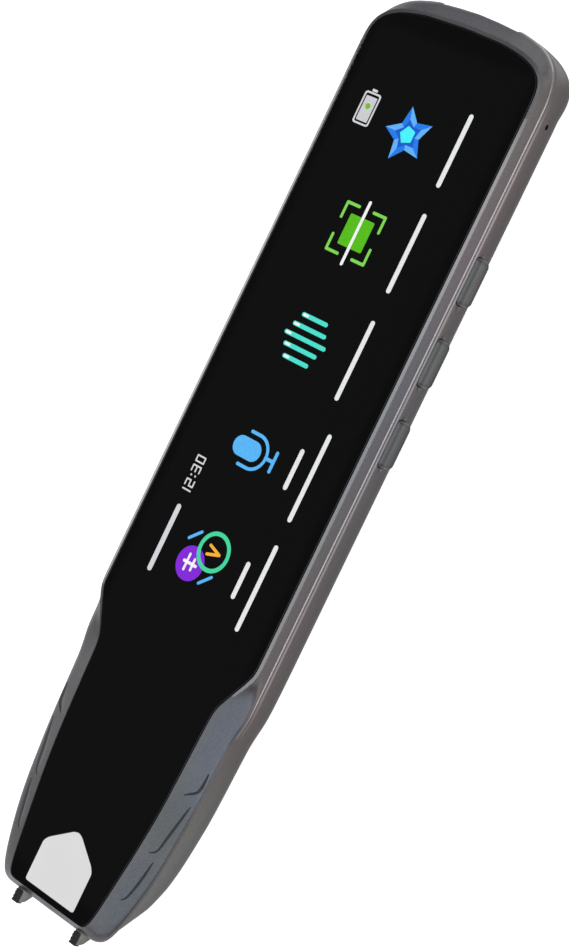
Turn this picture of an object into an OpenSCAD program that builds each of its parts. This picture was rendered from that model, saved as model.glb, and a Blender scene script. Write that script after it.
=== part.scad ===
// Handheld scan-and-translate pen.
// Frame: the pen lies on its flat back, screen up (+Z). +Y runs to the top end
// (socket end), -Y to the scanning tip, +X is the side with the three keys.
// The origin is the middle of the flat back. All sizes are in millimetres.

/* [Body] */
// Width of the housing at the parting line
body_w = 37; // [36.5:0.1:37.5]
// Height of the rear shell, from the flat back to the parting line
parting_z = 10.2; // [10.2:0.05:10.3]
// Height of the whole body, to the face of the glass
body_t = 12.4; // [12.4:0.05:12.5]
// How far the side rounding of the rear shell reaches in
side_round = 7.4; // [7:0.1:7.8]
// How far the rounding of the tip's underside reaches in
tip_round = 9.5; // [9:0.1:10]
// Fullness of the rounded sides: 2 gives an ellipse, more gives a squarer side
side_full = 2.15; // [2:0.05:2.25]
// Fullness of the rounding at the top end
top_full = 2.9; // [2:0.1:3.2]
// Wall thickness of the rear shell's sides
wall = 1.2; // [1.1:0.05:1.3]
// Floor thickness of the rear shell
floor_t = 1.3; // [1.2:0.05:1.3]

/* [Glass and screen] */
// Thickness of the cover glass
glass_t = 0.9; // [0.8:0.05:0.9]
// Width of the screen module
screen_w = 31; // [30:0.5:31]
// Length of the screen module
screen_l = 93; // [90:1:93]
// Thickness of the screen module
screen_t = 1.7; // [1.4:0.1:1.7]
// Half width of the sight window
sight_w = 5.8; // [5:0.1:6]

/* [Speaker grille] */
// Distance between neighbouring grille holes
grille_pitch = 2.15; // [2:0.05:2.2]
// Diameter of a grille hole
grille_d = 1.05; // [0.9:0.05:1.2]
// Distance of the grille's middle from the body's middle
grille_y = 58.7; // [58:0.1:59]

/* [Keys] */
// Length of a key cap
key_l = 8; // [7.5:0.1:8.2]
// Height of a key cap
key_h = 2.6; // [2.2:0.1:2.7]
// Distance between neighbouring keys
key_pitch = 13.55; // [13:0.05:13.6]
// Position of the middle key along the body
key_y = 25.4; // [25:0.1:26]
// How far a key moves when it is pressed
key_travel = 0.35; // [0.25:0.05:0.35]
// Gap around a key cap
key_gap = 0.12; // [0.1:0.01:0.15]

/* [Back details] */
// Diameter of the blank badge disc
badge_d = 7.5; // [7:0.1:8]
// Depth of the slanted decor stripes
stripe_depth = 0.3; // [0.2:0.05:0.4]
// Distance between neighbouring stripes
stripe_pitch = 6.4; // [6.3:0.05:6.6]
// Number of slanted stripes below the first long one
stripe_n = 5; // [3:1:6]

/* [Tip trigger] */
// Diameter of the trigger's hinge pin
axle_d = 1.0; // [0.9:0.05:1.0]
// Radial clearance of the yoke on its pin
axle_gap = 0.04; // [0.03:0.01:0.06]
// Outer half width of the yoke
yoke_w = 7.75; // [7.6:0.05:7.8]
// Thickness of a yoke leg
leg_t = 1.4; // [1.2:0.1:1.4]

/* [Smoothness] */
// Segments of a full circle
$fn = 48; // [32:8:96]

/* [Hidden] */

e = 0.05;
hw = body_w / 2;
glass_z = body_t - glass_t;      // underside of the cover glass
ledge_z = glass_z - 0.2;         // ledge that carries the glass tape
frame_z = body_t - 0.15;         // top of the rim around the glass
key_z = 7.6;                     // height of the keys' middle
pin_y = -70.6;                   // trigger hinge
pin_z = 2.75;
screws = [[13.4, 60.4], [-13.4, 60.4], [-14.3, 34], [14.2, -21.6], [-14.2, -21.6]];

// Right half of the body's outline at the parting line, top end first.
body_r = [[0, 76.85], [8.6, 76.4], [12.4, 75.55], [14.8, 74.55], [16.8, 72.85], [17.95, 70.6],
          [18.4, 68.3], [hw, 66], [hw, -27], [hw, -30], [hw, -33.5], [18.35, -36],
          [17.9, -38.2], [17.6, -40.2], [17.3, -47.4], [17.05, -52.4], [16.6, -57.4],
          [16.1, -62.4], [15.2, -67.4], [13.95, -72.2], [13.05, -74.9], [12.3, -76.2],
          [11.1, -76.95], [0, -76.95]];
// Right half of the glass outline, point for point beside the body's.
glass_r = [[0, 73.45], [8, 73.2], [11.6, 72.65], [13.9, 72], [15.7, 71.05], [16.85, 69.8],
           [17.35, 68.2], [17.45, 65.6], [17.45, -27.6], [17.1, -29.2], [14.2, -34.4],
           [13.5, -36], [13.25, -38], [13.15, -40.5], [12.85, -47.4], [12.6, -52.4],
           [12.15, -57.4], [11.5, -62.4], [10.75, -67.4], [10.05, -72], [9.6, -74.2],
           [9.05, -75.4], [8.2, -75.75], [0, -75.75]];

// A closed outline from its right half.
function whole(r) = concat(r, [for (i = [len(r) - 2:-1:1]) [-r[i][0], r[i][1]]]);
// Moves every point of a clockwise outline out by t (in, when t is negative).
function grow(p, t) = let (n = len(p)) [for (i = [0:n - 1])
    let (d = p[(i + 1) % n] - p[(i + n - 1) % n], l = norm(d)) p[i] + t * [-d[1], d[0]] / l];
// Keeps an outline between two Y values.
function between(p, lo, hi) = [for (q = p) [q[0], min(hi, max(lo, q[1]))]];
function sup(v, e) = sign(v) * pow(abs(v), 2 / e);
function ell(cx, cy, rx, ry, a0, a1, n, e = side_full) =
    [for (i = [0:n]) let (a = a0 + (a1 - a0) * i / n) [cx + rx * sup(cos(a), e), cy + ry * sup(sin(a), e)]];

module body_2d(t = 0) polygon(grow(whole(body_r), -t));
module glass_2d(t = 0) polygon(grow(whole(glass_r), -t));

// Cross-section of the rear shell, with its rounded sides. t is the side inset, f the floor inset.
module section_2d(t, f) {
    c = hw - side_round;
    polygon(concat(ell(-c, parting_z, side_round - t, parting_z - f, 180, 270, 10),
                   ell(c, parting_z, side_round - t, parting_z - f, 270, 360, 10),
                   [[hw - t, parting_z + 4], [t - hw, parting_z + 4]]));
}
// Long profile, seen along X: rounded up at both ends.
module side_2d(t, f) {
    polygon(concat(ell(-76.95 + tip_round, parting_z, tip_round - t, parting_z - f, 180, 270, 10),
                   ell(76.85 - side_round, parting_z, side_round - t, parting_z - f, 270, 360, 10, top_full),
                   [[76.85 - t, parting_z + 4], [t - 76.95, parting_z + 4]]));
}
module along_y(l) rotate([90, 0, 0]) linear_extrude(l, center = true) children();
module along_x(l) rotate([90, 0, 90]) linear_extrude(l, center = true) children();
module pillow(t, f, h) {
    intersection() {
        translate([0, 0, f]) linear_extrude(h - f) body_2d(t);
        along_y(170) section_2d(t, f);
        along_x(60) side_2d(t, f);
    }
}
module box(x0, x1, y0, y1, z0, z1) translate([x0, y0, z0]) cube([x1 - x0, y1 - y0, z1 - z0]);
module pin_x(x0, x1, y, z, d) translate([x0, y, z]) rotate([0, 90, 0]) cylinder(d = d, h = x1 - x0);
module pin_y(y0, y1, x, z, d) translate([x, y1, z]) rotate([90, 0, 0]) cylinder(d = d, h = y1 - y0);

// One slanted decor stripe on the right of the back, and the long first one.
module stripe_2d(i) {
    y = 42.8 - (i - 1) * stripe_pitch;
    if (i == 0) polygon([[13.6, 54], [13.2, 54.4], [7.1, 41.3], [7.5, 40.7], [13.6, 47]]);
    else polygon([[13.6, y - 0.3], [13.2, y], [7.1, y - 6.2], [7.1, y - 8.4], [7.5, y - 8.7], [13, y - 3.2], [13.6, y - 2.5]]);
}
module stripes() {
    for (i = [0:stripe_n]) for (s = [0, 1]) mirror([s, 0, 0])
        translate([0, 0, -1]) linear_extrude(4) stripe_2d(i);
}
module grille(d, h) {
    for (i = [-3:3]) for (j = [-2:2]) if (abs(i) < 3 || abs(j) < 2)
        translate([i * grille_pitch, grille_y + j * grille_pitch, -e]) cylinder(d = d, h = h, $fn = 24);
}

module step_2d() polygon([[-8.2, 78], [8.2, 78], [8.2, 76.18], [0, 76.6], [-8.2, 76.18]]);

module rear_shell() {
    color([0.43, 0.41, 0.42]) difference() {
        pillow(0, 0, parting_z);
        // hollow inside, less the screw posts
        difference() {
            pillow(wall, floor_t, parting_z + 1);
            for (s = screws) translate([s[0], s[1], 0]) cylinder(d = 4.4, h = 8.6);
            box(-16, 16, -78, -74.9, 0, parting_z + 2);
        }
        for (s = screws) translate([s[0], s[1], 2.6]) cylinder(d = 1.34, h = 7);
        // decor stripes, of even depth below the curved surface
        difference() {
            stripes();
            along_y(170) section_2d(stripe_depth, stripe_depth);
        }
        // badge seat, grille, microphone hole
        translate([0, 45.9, -e]) cylinder(d = badge_d + 0.06, h = 0.8 + e);
        grille(grille_d, 3);
        pin_x(14, 20, 64.7, 7.1, 0.8);
        // key slots
        for (k = [-1:1]) box(15, 20, key_y + k * key_pitch - key_l / 2 - key_gap, key_y + k * key_pitch + key_l / 2 + key_gap,
                             key_z - key_h / 2 - key_gap, key_z + key_h / 2 + key_gap);
        // shallow step and socket mouth in the top end
        translate([0, 0, 2.2]) linear_extrude(9) step_2d();
        box(-3.05, 3.05, 70, 80, 4.72, 8.08);
        pin_y(70, 80, -3.05, 6.4, 3.36);
        pin_y(70, 80, 3.05, 6.4, 3.36);
        // open notch for the trigger in the tip
        box(-8, 8, -80, -68.9, -1, parting_z + 1);
    }
}

module front_frame() {
    n = 46;
    b = whole(body_r);
    g = grow(whole(glass_r), 0.8);
    rings = [[for (q = b) [q[0], q[1], parting_z]], [for (q = b) [q[0], q[1], parting_z + 0.35]],
             [for (q = g) [q[0], q[1], frame_z]]];
    pts = concat(rings[0], rings[1], rings[2]);
    sides = [for (r = [0:1]) for (i = [0:n - 1]) for (k = [0:1])
        let (j = (i + 1) % n) k == 0 ? [r * n + i, r * n + j, (r + 1) * n + i]
                                     : [r * n + j, (r + 1) * n + j, (r + 1) * n + i]];
    caps = [[for (i = [n - 1:-1:0]) i], [for (i = [0:n - 1]) 2 * n + i]];
    color([0.40, 0.39, 0.40]) {
        difference() {
            polyhedron(points = pts, faces = concat(sides, caps), convexity = 6);
            // pocket for the glass, and the opening under it
            translate([0, 0, ledge_z]) linear_extrude(3) glass_2d(-0.1);
            translate([0, 0, parting_z - 1]) linear_extrude(3) polygon(between(grow(whole(glass_r), -1.3), -74.3, 72));
            // ways out for the yoke's legs, and the step in the top end
            for (s = [-1, 1]) translate([s * 7.05, 0, 0]) box(-0.95, 0.95, -78, -72.9, parting_z - 1, ledge_z - 0.15);
            translate([0, 0, parting_z - 1]) linear_extrude(1.9) step_2d();
        }
        // tabs that locate the frame inside the rear shell
        for (s = [-1, 1]) for (y = [-20, 2, 52]) box(s * 16.85 - 0.35, s * 16.85 + 0.35, y, y + 9, 9.4, parting_z + 0.3);
    }
}

module cover_glass() {
    color([0.07, 0.07, 0.07]) translate([0, 0, glass_z]) difference() {
        linear_extrude(glass_t) glass_2d(0);
        translate([0, 0, -1]) linear_extrude(3) sight_2d(0.05);
    }
}
module sight_2d(t) {
    w = sight_w + t;
    polygon([[-w, -74.9 - t], [w, -74.9 - t], [w, -68.1], [w - 0.7, -67.2], [0.9, -64.2 + t], [0, -63.95 + t],
             [-0.9, -64.2 + t], [0.7 - w, -67.2], [-w, -68.1]]);
}
module glass_adhesive() {
    color([0.05, 0.05, 0.05]) translate([0, 0, ledge_z]) linear_extrude(0.2) difference() {
        glass_2d(0.1);
        polygon(between(grow(whole(glass_r), -1.2), -74.4, 72.2));
    }
}
module sight_window() {
    color([0.87, 0.87, 0.87]) translate([0, 0, glass_z]) linear_extrude(glass_t) sight_2d(0);
}
module window_diffuser() {
    color([0.95, 0.95, 0.93]) box(-6.6, 6.6, -74.2, -63, 10.8, glass_z);
}

module display_module() {
    color([0.12, 0.12, 0.14]) difference() {
        box(-screen_w / 2, screen_w / 2, -25.5, screen_l - 25.5, glass_z - screen_t, glass_z);
        box(-screen_w / 2 + 1.2, screen_w / 2 - 1.2, -23, screen_l - 27, glass_z - screen_t - 1, glass_z - screen_t + 0.2);
    }
}
module display_flex() {
    color([0.75, 0.5, 0.15]) rotate([90, 0, 90]) linear_extrude(14, center = true)
        polygon([[-25.5, 10.5], [-27.6, 10.5], [-28.3, 10.2], [-28.6, 9.6], [-28.6, 8.4], [-28.3, 7.8], [-27.6, 7.55], [-23.6, 7.55],
                 [-23.6, 7.4], [-27.7, 7.4], [-28.45, 7.7], [-28.8, 8.3], [-28.8, 9.7], [-28.45, 10.35], [-27.7, 10.7], [-25.5, 10.7]]);
}

module chassis() {
    color([0.62, 0.62, 0.65]) difference() {
        box(-15.4, 15.4, -25, 66.5, 8.6, 9.2);
        for (s = screws) translate([s[0], s[1], 8]) cylinder(d = 1.8, h = 2);
        for (y = [-14, 8]) box(-9, 9, y, y + 16, 8, 10);
        for (s = [-1, 1]) translate([s * 15.4, 66.5, 8]) rotate([0, 0, 45]) cube([3, 3, 4], center = true);
    }
}
module main_pcb() {
    color([0.05, 0.3, 0.16]) difference() {
        box(-10.9, 10.9, -26.5, 72, 6.6, 7.4);
        box(-4.7, 4.7, 68.7, 73, 6, 8);
        for (x = [-9, 9]) for (y = [-24, 63]) translate([x, y, 6]) cylinder(d = 1.6, h = 2);
    }
}
module shield_can() {
    color([0.78, 0.78, 0.8]) difference() {
        box(-9.4, 9.4, 28, 58, 7.4, 8.5);
        box(-9.2, 9.2, 28.2, 57.8, 7.3, 8.3);
    }
}
module battery() {
    color([0.6, 0.6, 0.62]) {
        box(-11.7, 11.7, -22, 26, 1.5, 6.1);
        box(-8, 8, 26, 27.6, 2.4, 5.2);
    }
}
module battery_tape() { color([0.9, 0.88, 0.8]) box(-9.5, 9.5, -20, 24, 1.3, 1.5); }

module speaker() {
    color([0.15, 0.15, 0.16]) {
        box(-10, 10, grille_y - 7.5, grille_y + 7.5, 2.6, 5.8);
        translate([0, grille_y, 2.0]) linear_extrude(0.6) square([16.6, 11.6], center = true);
    }
}
module speaker_gasket() {
    color([0.1, 0.1, 0.1]) translate([0, grille_y, 1.5]) linear_extrude(1.1) difference() {
        square([19, 14], center = true);
        square([17, 12], center = true);
    }
}
module speaker_mesh() { color([0.2, 0.2, 0.2]) box(-8.5, 8.5, grille_y - 6, grille_y + 6, 1.3, 1.5); }

module usb_c_port() {
    color([0.75, 0.75, 0.77]) difference() {
        union() {
            box(-2.9, 2.9, 68.8, 75.9, 4.85, 7.95);
            pin_y(68.8, 75.9, -2.9, 6.4, 3.1);
            pin_y(68.8, 75.9, 2.9, 6.4, 3.1);
        }
        difference() {
            union() {
                box(-2.9, 2.9, 69.6, 77, 5.15, 7.65);
                pin_y(69.6, 77, -2.9, 6.4, 2.5);
                pin_y(69.6, 77, 2.9, 6.4, 2.5);
            }
            box(-3.3, 3.3, 69, 75.2, 6.05, 6.75);
        }
    }
}
module microphone() { color([0.7, 0.65, 0.4]) box(15.6, 16.5, 63.2, 66.2, 6.2, 8.4); }
module antenna() { color([0.8, 0.55, 0.2]) box(-16.6, -16.3, 2, 26, 6.6, 9.2); }
module badge_disc() { color([0.45, 0.43, 0.44]) translate([0, 45.9, 0]) cylinder(d = badge_d, h = 0.8); }

module camera_module() {
    color([0.1, 0.1, 0.1]) {
        box(-4, 4, -54, -49, 3.4, 9.4);
        difference() {
            pin_y(-58.5, -54, 0, 6.4, 5);
            pin_y(-60, -57.6, 0, 6.4, 3.4);
        }
    }
}
module camera_flex() { color([0.75, 0.5, 0.15]) box(-3, 3, -49, -26.5, 6.9, 7.1); }
module led_board() {
    color([0.9, 0.9, 0.85]) {
        difference() {
            box(-7, 7, -57.4, -56.6, 2.6, 10);
            pin_y(-60, -55, 0, 6.4, 5.3);
        }
        for (x = [-5.2, 5.2]) for (z = [4.4, 8.4]) box(x - 1, x + 1, -58.1, -57.4, z - 0.8, z + 0.8);
    }
}
// Light chamber in front of the camera: open to the tip and to the sight window.
module scan_hood() {
    color([0.08, 0.08, 0.08]) difference() {
        union() {
            box(-7.4, 7.4, -67.8, -58.8, 2.2, 10.6);
            box(-8.4, -5.6, -71.4, -66.8, 7.4, 9.9);
        }
        box(-6.4, 6.4, -68, -58, 3.2, 7.0);
        box(-5.2, 6.4, -68, -58, 6.9, 9.8);
        box(-5, 5, -66.4, -60, 9, 11);
        // guide and spring pocket of the return pin
        pin_y(-72, -69, -7, 8.6, 1.16);
        pin_y(-70, -67.2, -7, 8.6, 2.2);
    }
}

module key_board() { color([0.05, 0.3, 0.16]) box(13.8, 14.4, 6, 45, 5.6, 8.5); }
module key_switches() {
    color([0.85, 0.85, 0.85]) for (k = [-1:1]) translate([0, key_y + k * key_pitch, 0]) {
        box(14.4, 15.0, -1.7, 1.7, 6.2, 8.5);
        pin_x(15.0, 15.35, 0, 7.4, 1.4);
    }
}
// A key: cap outside, flange inside that keeps it from falling out.
module key(k) {
    color([0.36, 0.37, 0.38]) translate([0, key_y + k * key_pitch, key_z]) {
        difference() {
            box(16.45, hw + 0.85, -key_l / 2, key_l / 2, -key_h / 2, key_h / 2);
            for (s = [-1, 1]) for (q = [-1, 1]) translate([hw + 0.85, s * key_l / 2, q * key_h / 2]) rotate([45, 0, 0]) cube([1.4, 0.5, 0.5], center = true);
        }
        box(15.9, 16.5, -4.7, 4.7, -key_h / 2 - 0.3, key_h / 2 + 0.3);
    }
}
module key_1() key(1);
module key_2() key(0);
module key_3() key(-1);

module case_screws() {
    color([0.55, 0.55, 0.57]) for (s = screws) translate([s[0], s[1], 0]) difference() {
        union() {
            translate([0, 0, 4.2]) cylinder(d = 1.3, h = 5);
            translate([0, 0, 9.2]) cylinder(d = 2.8, h = 0.5);
        }
        translate([0, 0, 9.35]) linear_extrude(1) { square([1.6, 0.35], center = true); square([0.35, 1.6], center = true); }
    }
}

// Fixed bar across the notch, with the tab that holds it to the shell floor.
module hinge_bar() {
    color([0.55, 0.55, 0.55]) difference() {
        union() {
            rotate([90, 0, 90]) linear_extrude(11.2, center = true)
                polygon([[-69.05, 0.9], [-69.3, 0.6], [-70.6, 0.85], [-72.0, 2.0], [-72.1, 3.4], [-71.5, 4.2], [-69.5, 4.2], [-69.05, 3.7]]);
            box(-4, 4, -69.2, -67.9, 1.6, 2.3);
        }
        pin_x(-8, 8, pin_y, pin_z, axle_d + 0.02);
        box(-0.3, 0.3, -70.7, -68.9, -1, 1.9);
        translate([0, -71.3, 0]) cylinder(d = 0.6, h = 2.2);
    }
}
module trigger_axle() { color([0.8, 0.8, 0.8]) pin_x(-yoke_w, yoke_w, pin_y, pin_z, axle_d); }

// Swinging yoke: two ears on the pin, two legs out through the tip, one cross web.
module trigger_yoke() {
    color([0.42, 0.43, 0.42]) {
        for (s = [0, 1]) mirror([s, 0, 0]) difference() {
            union() {
                translate([yoke_w - leg_t, 0, 0]) rotate([90, 0, 90]) linear_extrude(leg_t)
                    polygon([[-72.0, 1.75], [-78.9, 9.0], [-79.2, 9.9], [-79.2, 10.6], [-75.3, 10.6], [-69.5, 3.85], [-70.6, 2.75]]);
                pin_x(5.75, yoke_w, pin_y, pin_z, 3.2);
            }
            pin_x(5, 9, pin_y, pin_z, axle_d + 2 * axle_gap);
        }
        box(-6.4, 6.4, -75.5, -73.1, 7.3, 8.4);
    }
}
// Ridged pads on the ends of the legs.
module tip_feet() {
    color([0.16, 0.16, 0.16]) for (s = [0, 1]) mirror([s, 0, 0]) translate([yoke_w - leg_t, 0, 0]) difference() {
        rotate([90, 0, 90]) linear_extrude(leg_t)
            polygon([[-79.2, 9.9], [-79.4, 9.9], [-79.4, 10.9], [-77.4, 10.9], [-77.4, 10.6], [-79.2, 10.6]]);
        for (i = [0:2]) box(-1, 3, -79.0 + i * 0.6, -78.8 + i * 0.6, 10.78, 11.2);
    }
}
module trigger_switch() {
    color([0.12, 0.12, 0.13]) difference() {
        box(5.6, 8.4, -71.4, -67.8, 7.4, 9.9);
        pin_y(-72, -69.6, 7, 8.6, 1.16);
    }
}
module switch_plunger() { color([0.9, 0.9, 0.88]) pin_y(-73.0, -70.4, 7, 8.6, 1.0); }
module return_pin() {
    color([0.8, 0.8, 0.8]) {
        pin_y(-73.0, -69.7, -7, 8.6, 1.0);
        pin_y(-69.9, -69.5, -7, 8.6, 1.9);
    }
}
// Coil spring behind the return pin, drawn at its pressed length.
module return_spring() {
    turns = 3; r = 0.75; w = 0.16; l = 1.3; m = 36; k = 6;
    path = [for (i = [0:m]) let (a = 360 * turns * i / m) [-7 + r * cos(a), -68.75 + l * i / m, 8.6 + r * sin(a)]];
    pts = [for (i = [0:m]) let (a = 360 * turns * i / m) for (j = [0:k - 1])
        path[i] + w * cos(360 * j / k) * [cos(a), 0, sin(a)] + w * sin(360 * j / k) * [0, 1, 0]];
    color([0.7, 0.7, 0.7]) polyhedron(points = pts, faces = concat(
        [for (i = [0:m - 1]) for (j = [0:k - 1]) [i * k + j, i * k + (j + 1) % k, (i + 1) * k + (j + 1) % k]],
        [for (i = [0:m - 1]) for (j = [0:k - 1]) [i * k + j, (i + 1) * k + (j + 1) % k, (i + 1) * k + j]],
        [[for (j = [k - 1:-1:0]) j], [for (j = [0:k - 1]) m * k + j]]), convexity = 8);
}

rear_shell();
front_frame();
cover_glass();
glass_adhesive();
sight_window();
window_diffuser();
display_module();
display_flex();
chassis();
main_pcb();
shield_can();
battery();
battery_tape();
speaker();
speaker_gasket();
speaker_mesh();
usb_c_port();
microphone();
antenna();
badge_disc();
camera_module();
camera_flex();
led_board();
scan_hood();
key_board();
key_switches();
key_1();
key_2();
key_3();
case_screws();
hinge_bar();
trigger_axle();
trigger_yoke();
tip_feet();
trigger_switch();
switch_plunger();
return_pin();
return_spring();
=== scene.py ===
import math

import bpy
import bmesh
import numpy as np
from mathutils import Matrix, Vector
from mathutils.bvhtree import BVHTree


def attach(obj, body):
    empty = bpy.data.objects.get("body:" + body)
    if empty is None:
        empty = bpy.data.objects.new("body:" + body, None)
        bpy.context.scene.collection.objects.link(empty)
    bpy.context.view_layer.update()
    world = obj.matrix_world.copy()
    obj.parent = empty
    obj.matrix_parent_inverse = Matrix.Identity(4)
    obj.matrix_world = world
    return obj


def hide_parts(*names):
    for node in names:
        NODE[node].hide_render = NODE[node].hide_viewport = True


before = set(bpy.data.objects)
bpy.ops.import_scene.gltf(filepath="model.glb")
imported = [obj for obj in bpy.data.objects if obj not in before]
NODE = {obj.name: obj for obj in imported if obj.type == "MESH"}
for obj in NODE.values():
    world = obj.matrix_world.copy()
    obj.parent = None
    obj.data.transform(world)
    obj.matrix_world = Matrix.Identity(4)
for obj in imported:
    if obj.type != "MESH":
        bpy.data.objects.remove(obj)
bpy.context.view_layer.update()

HOUSING = "housing"

# ------------------------------------------------------------------ outlines, in millimetres
# Right halves, top end first: body at the parting line, glass, and flat of the back.
BODY_R = [(0, 76.85), (8.6, 76.4), (12.4, 75.55), (14.8, 74.55), (16.8, 72.85), (17.95, 70.6),
          (18.4, 68.3), (18.5, 66), (18.5, -27), (18.5, -30), (18.5, -33.5), (18.35, -36),
          (17.9, -38.2), (17.6, -40.2), (17.3, -47.4), (17.05, -52.4), (16.6, -57.4),
          (16.1, -62.4), (15.2, -67.4), (13.95, -72.2), (12.95, -74.9), (11.95, -76.4),
          (10.5, -77.15), (0, -77.2)]
GLASS_R = [(0, 73.45), (8, 73.2), (11.6, 72.65), (13.9, 72), (15.7, 71.05), (16.85, 69.8),
           (17.35, 68.2), (17.45, 65.6), (17.45, -27.6), (17.1, -29.2), (14.2, -34.4),
           (13.5, -36), (13.25, -38), (13.15, -40.5), (12.85, -47.4), (12.6, -52.4),
           (12.15, -57.4), (11.5, -62.4), (10.75, -67.4), (10.05, -72), (9.6, -74.2),
           (9.05, -75.4), (8.2, -75.75), (0, -75.75)]
FLAT_R = [(0, 69.45), (5.5, 69.2), (8.3, 68.6), (9.7, 67.8), (10.6, 66.8), (11, 65.6),
          (11.1, 64.4), (11.1, 63), (11.1, -27), (11.1, -29.8), (11.1, -33), (10.95, -35.6),
          (10.6, -38), (10.35, -40.4), (9.9, -47.4), (9.5, -52.2), (8.9, -56.8), (8.1, -61),
          (7.1, -64), (5.9, -66.1), (5.1, -66.9), (4.4, -67.2), (3.6, -67.35), (0, -67.45)]
SIGHT = [(-5.8, -74.9), (5.8, -74.9), (5.8, -68.1), (5.1, -67.2), (0.9, -64.2), (0, -63.95),
         (-0.9, -64.2), (-5.1, -67.2), (-5.8, -68.1)]
PART_Z, TOP_Z = 10.2, 12.36
RIM_OUT, RIM_IN = 12.12, 12.31  # the polished rim around the glass falls a little outwards
KEYS_Y = (38.95, 25.4, 11.85)
KEY_Z = 7.6
GRILLE_Y, GRILLE_P = 58.7, 2.15


def whole(r):
    return [tuple(p) for p in r] + [(-x, y) for x, y in r[-2:0:-1]]


def dense(stack):
    """Puts more points on the long edges, at the same shares in every outline of the stack."""
    out, n = [], len(stack)
    for i in range(n):
        a, b = stack[i], stack[(i + 1) % n]
        out.append(a)
        length = float(np.hypot(*(b[:2] - a[:2])))
        if length > 7:
            m = int((length - 5) // 10)
            at = [2.5 + (length - 5) * (j + 1) / (m + 1) for j in range(m)]
            out += [a + (b - a) * t / length for t in [2.5, *at, length - 2.5]]
    return np.array(out)


def chaikin(p, rounds=3):
    for _ in range(rounds):
        q = np.roll(p, -1, axis=0)
        p = np.stack([p * 0.75 + q * 0.25, p * 0.25 + q * 0.75], axis=1).reshape(-1, p.shape[1])
    return p


def grow(p, t):
    """Moves a clockwise outline out by t, which may differ from point to point."""
    d = np.roll(p, -1, axis=0) - np.roll(p, 1, axis=0)
    n = np.stack([-d[:, 1], d[:, 0]], axis=1) / np.linalg.norm(d, axis=1)[:, None]
    return p + n * np.reshape(t, (-1, 1))


STACK = chaikin(dense(np.array([a + b + c for a, b, c in zip(whole(BODY_R), whole(GLASS_R), whole(FLAT_R))], float)))
P, G, Q = STACK[:, 0:2], STACK[:, 2:4], STACK[:, 4:6]
N = len(P)
_s = np.clip((P[:, 1] + 39) / 9, 0, 1)
SEAM = 0.05 + 0.95 * _s * _s * (3 - 2 * _s)  # the parting groove closes up towards the tip
# how full the rounded side is, 2 being an ellipse: less at the tip's corners, more at the top end
FULL = np.interp(P[:, 1], (-74, -70, -66, -62, -54, -45, -37, -28), (1.275, 1.85, 2.075, 2.125, 2.17, 2.10, 2.07, 2.15))
_s = np.clip((P[:, 1] - 67) / 7, 0, 1)
FULL += 1.0 * _s * _s * (3 - 2 * _s)
_s = np.clip((P[:, 1] + 37) / 8, 0, 1)
RIM = 0.12 + 0.88 * _s * _s * (3 - 2 * _s)  # the rim narrows on the tip


def at_z(p, z):
    return np.column_stack([p, np.full(len(p), float(z))])


# ------------------------------------------------------------------ mesh helpers, in millimetres
def make(name, verts, faces, mats=(), smooth=True):
    me = bpy.data.meshes.new(name)
    me.from_pydata([tuple(map(float, v)) for v in verts], [], [tuple(f) for f in faces])
    for m in mats:
        me.materials.append(m)
    me.validate()
    bm = bmesh.new()
    bm.from_mesh(me)
    bmesh.ops.recalc_face_normals(bm, faces=bm.faces)
    bm.to_mesh(me)
    bm.free()
    me.polygons.foreach_set("use_smooth", [smooth] * len(me.polygons))
    ob = bpy.data.objects.new(name, me)
    bpy.context.scene.collection.objects.link(ob)
    return ob


def loft(rings, caps=(True, True), closed=False):
    n, k = len(rings[0]), len(rings)
    verts = np.concatenate(rings)
    faces = []
    for r in range(k if closed else k - 1):
        a, b = r * n, ((r + 1) % k) * n
        faces += [(a + i, a + (i + 1) % n, b + (i + 1) % n, b + i) for i in range(n)]
    if not closed:
        if caps[0]:
            faces.append(tuple(range(n))[::-1])
        if caps[1]:
            faces.append(tuple((k - 1) * n + i for i in range(n)))
    return verts, faces


def prism(poly, z0, z1):
    p = np.array(poly, float)
    return loft([at_z(p, z0), at_z(p, z1)])


def merged(parts):
    verts, faces, at = [], [], 0
    for v, f in parts:
        verts += [tuple(x) for x in v]
        faces += [tuple(i + at for i in g) for g in f]
        at += len(v)
    return verts, faces


def turned(profile, centre, axis="z", n=32):
    """A solid of revolution. profile is (radius, height) pairs from one end to the other."""
    rings = []
    for r, h in profile:
        a = np.linspace(0, 2 * math.pi, n, endpoint=False)
        ring = np.column_stack([r * np.cos(a), r * np.sin(a), np.full(n, h)])
        if axis == "x":
            ring = ring[:, [2, 0, 1]]
        elif axis == "y":
            ring = ring[:, [1, 2, 0]]
        rings.append(ring + np.array(centre, float))
    return loft(rings)


def capsule_profile(r, h, k=5):
    a = np.linspace(0, math.pi / 2, k)
    return [(r * math.sin(x) + 1e-4, -h - r * math.cos(x)) for x in a] + [(r * math.cos(x) + 1e-4, h + r * math.sin(x)) for x in a]


def boolean(ob, cutter, op="DIFFERENCE"):
    m = ob.modifiers.new("cut", "BOOLEAN")
    m.object, m.operation, m.solver, m.material_mode = cutter, op, "EXACT", "TRANSFER"
    dg = bpy.context.evaluated_depsgraph_get()
    dg.update()
    me = bpy.data.meshes.new_from_object(ob.evaluated_get(dg), depsgraph=dg)
    ob.modifiers.clear()
    old, ob.data = ob.data, me
    bpy.data.meshes.remove(old)
    cut = cutter.data
    bpy.data.objects.remove(cutter)
    bpy.data.meshes.remove(cut)
    return ob


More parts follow.
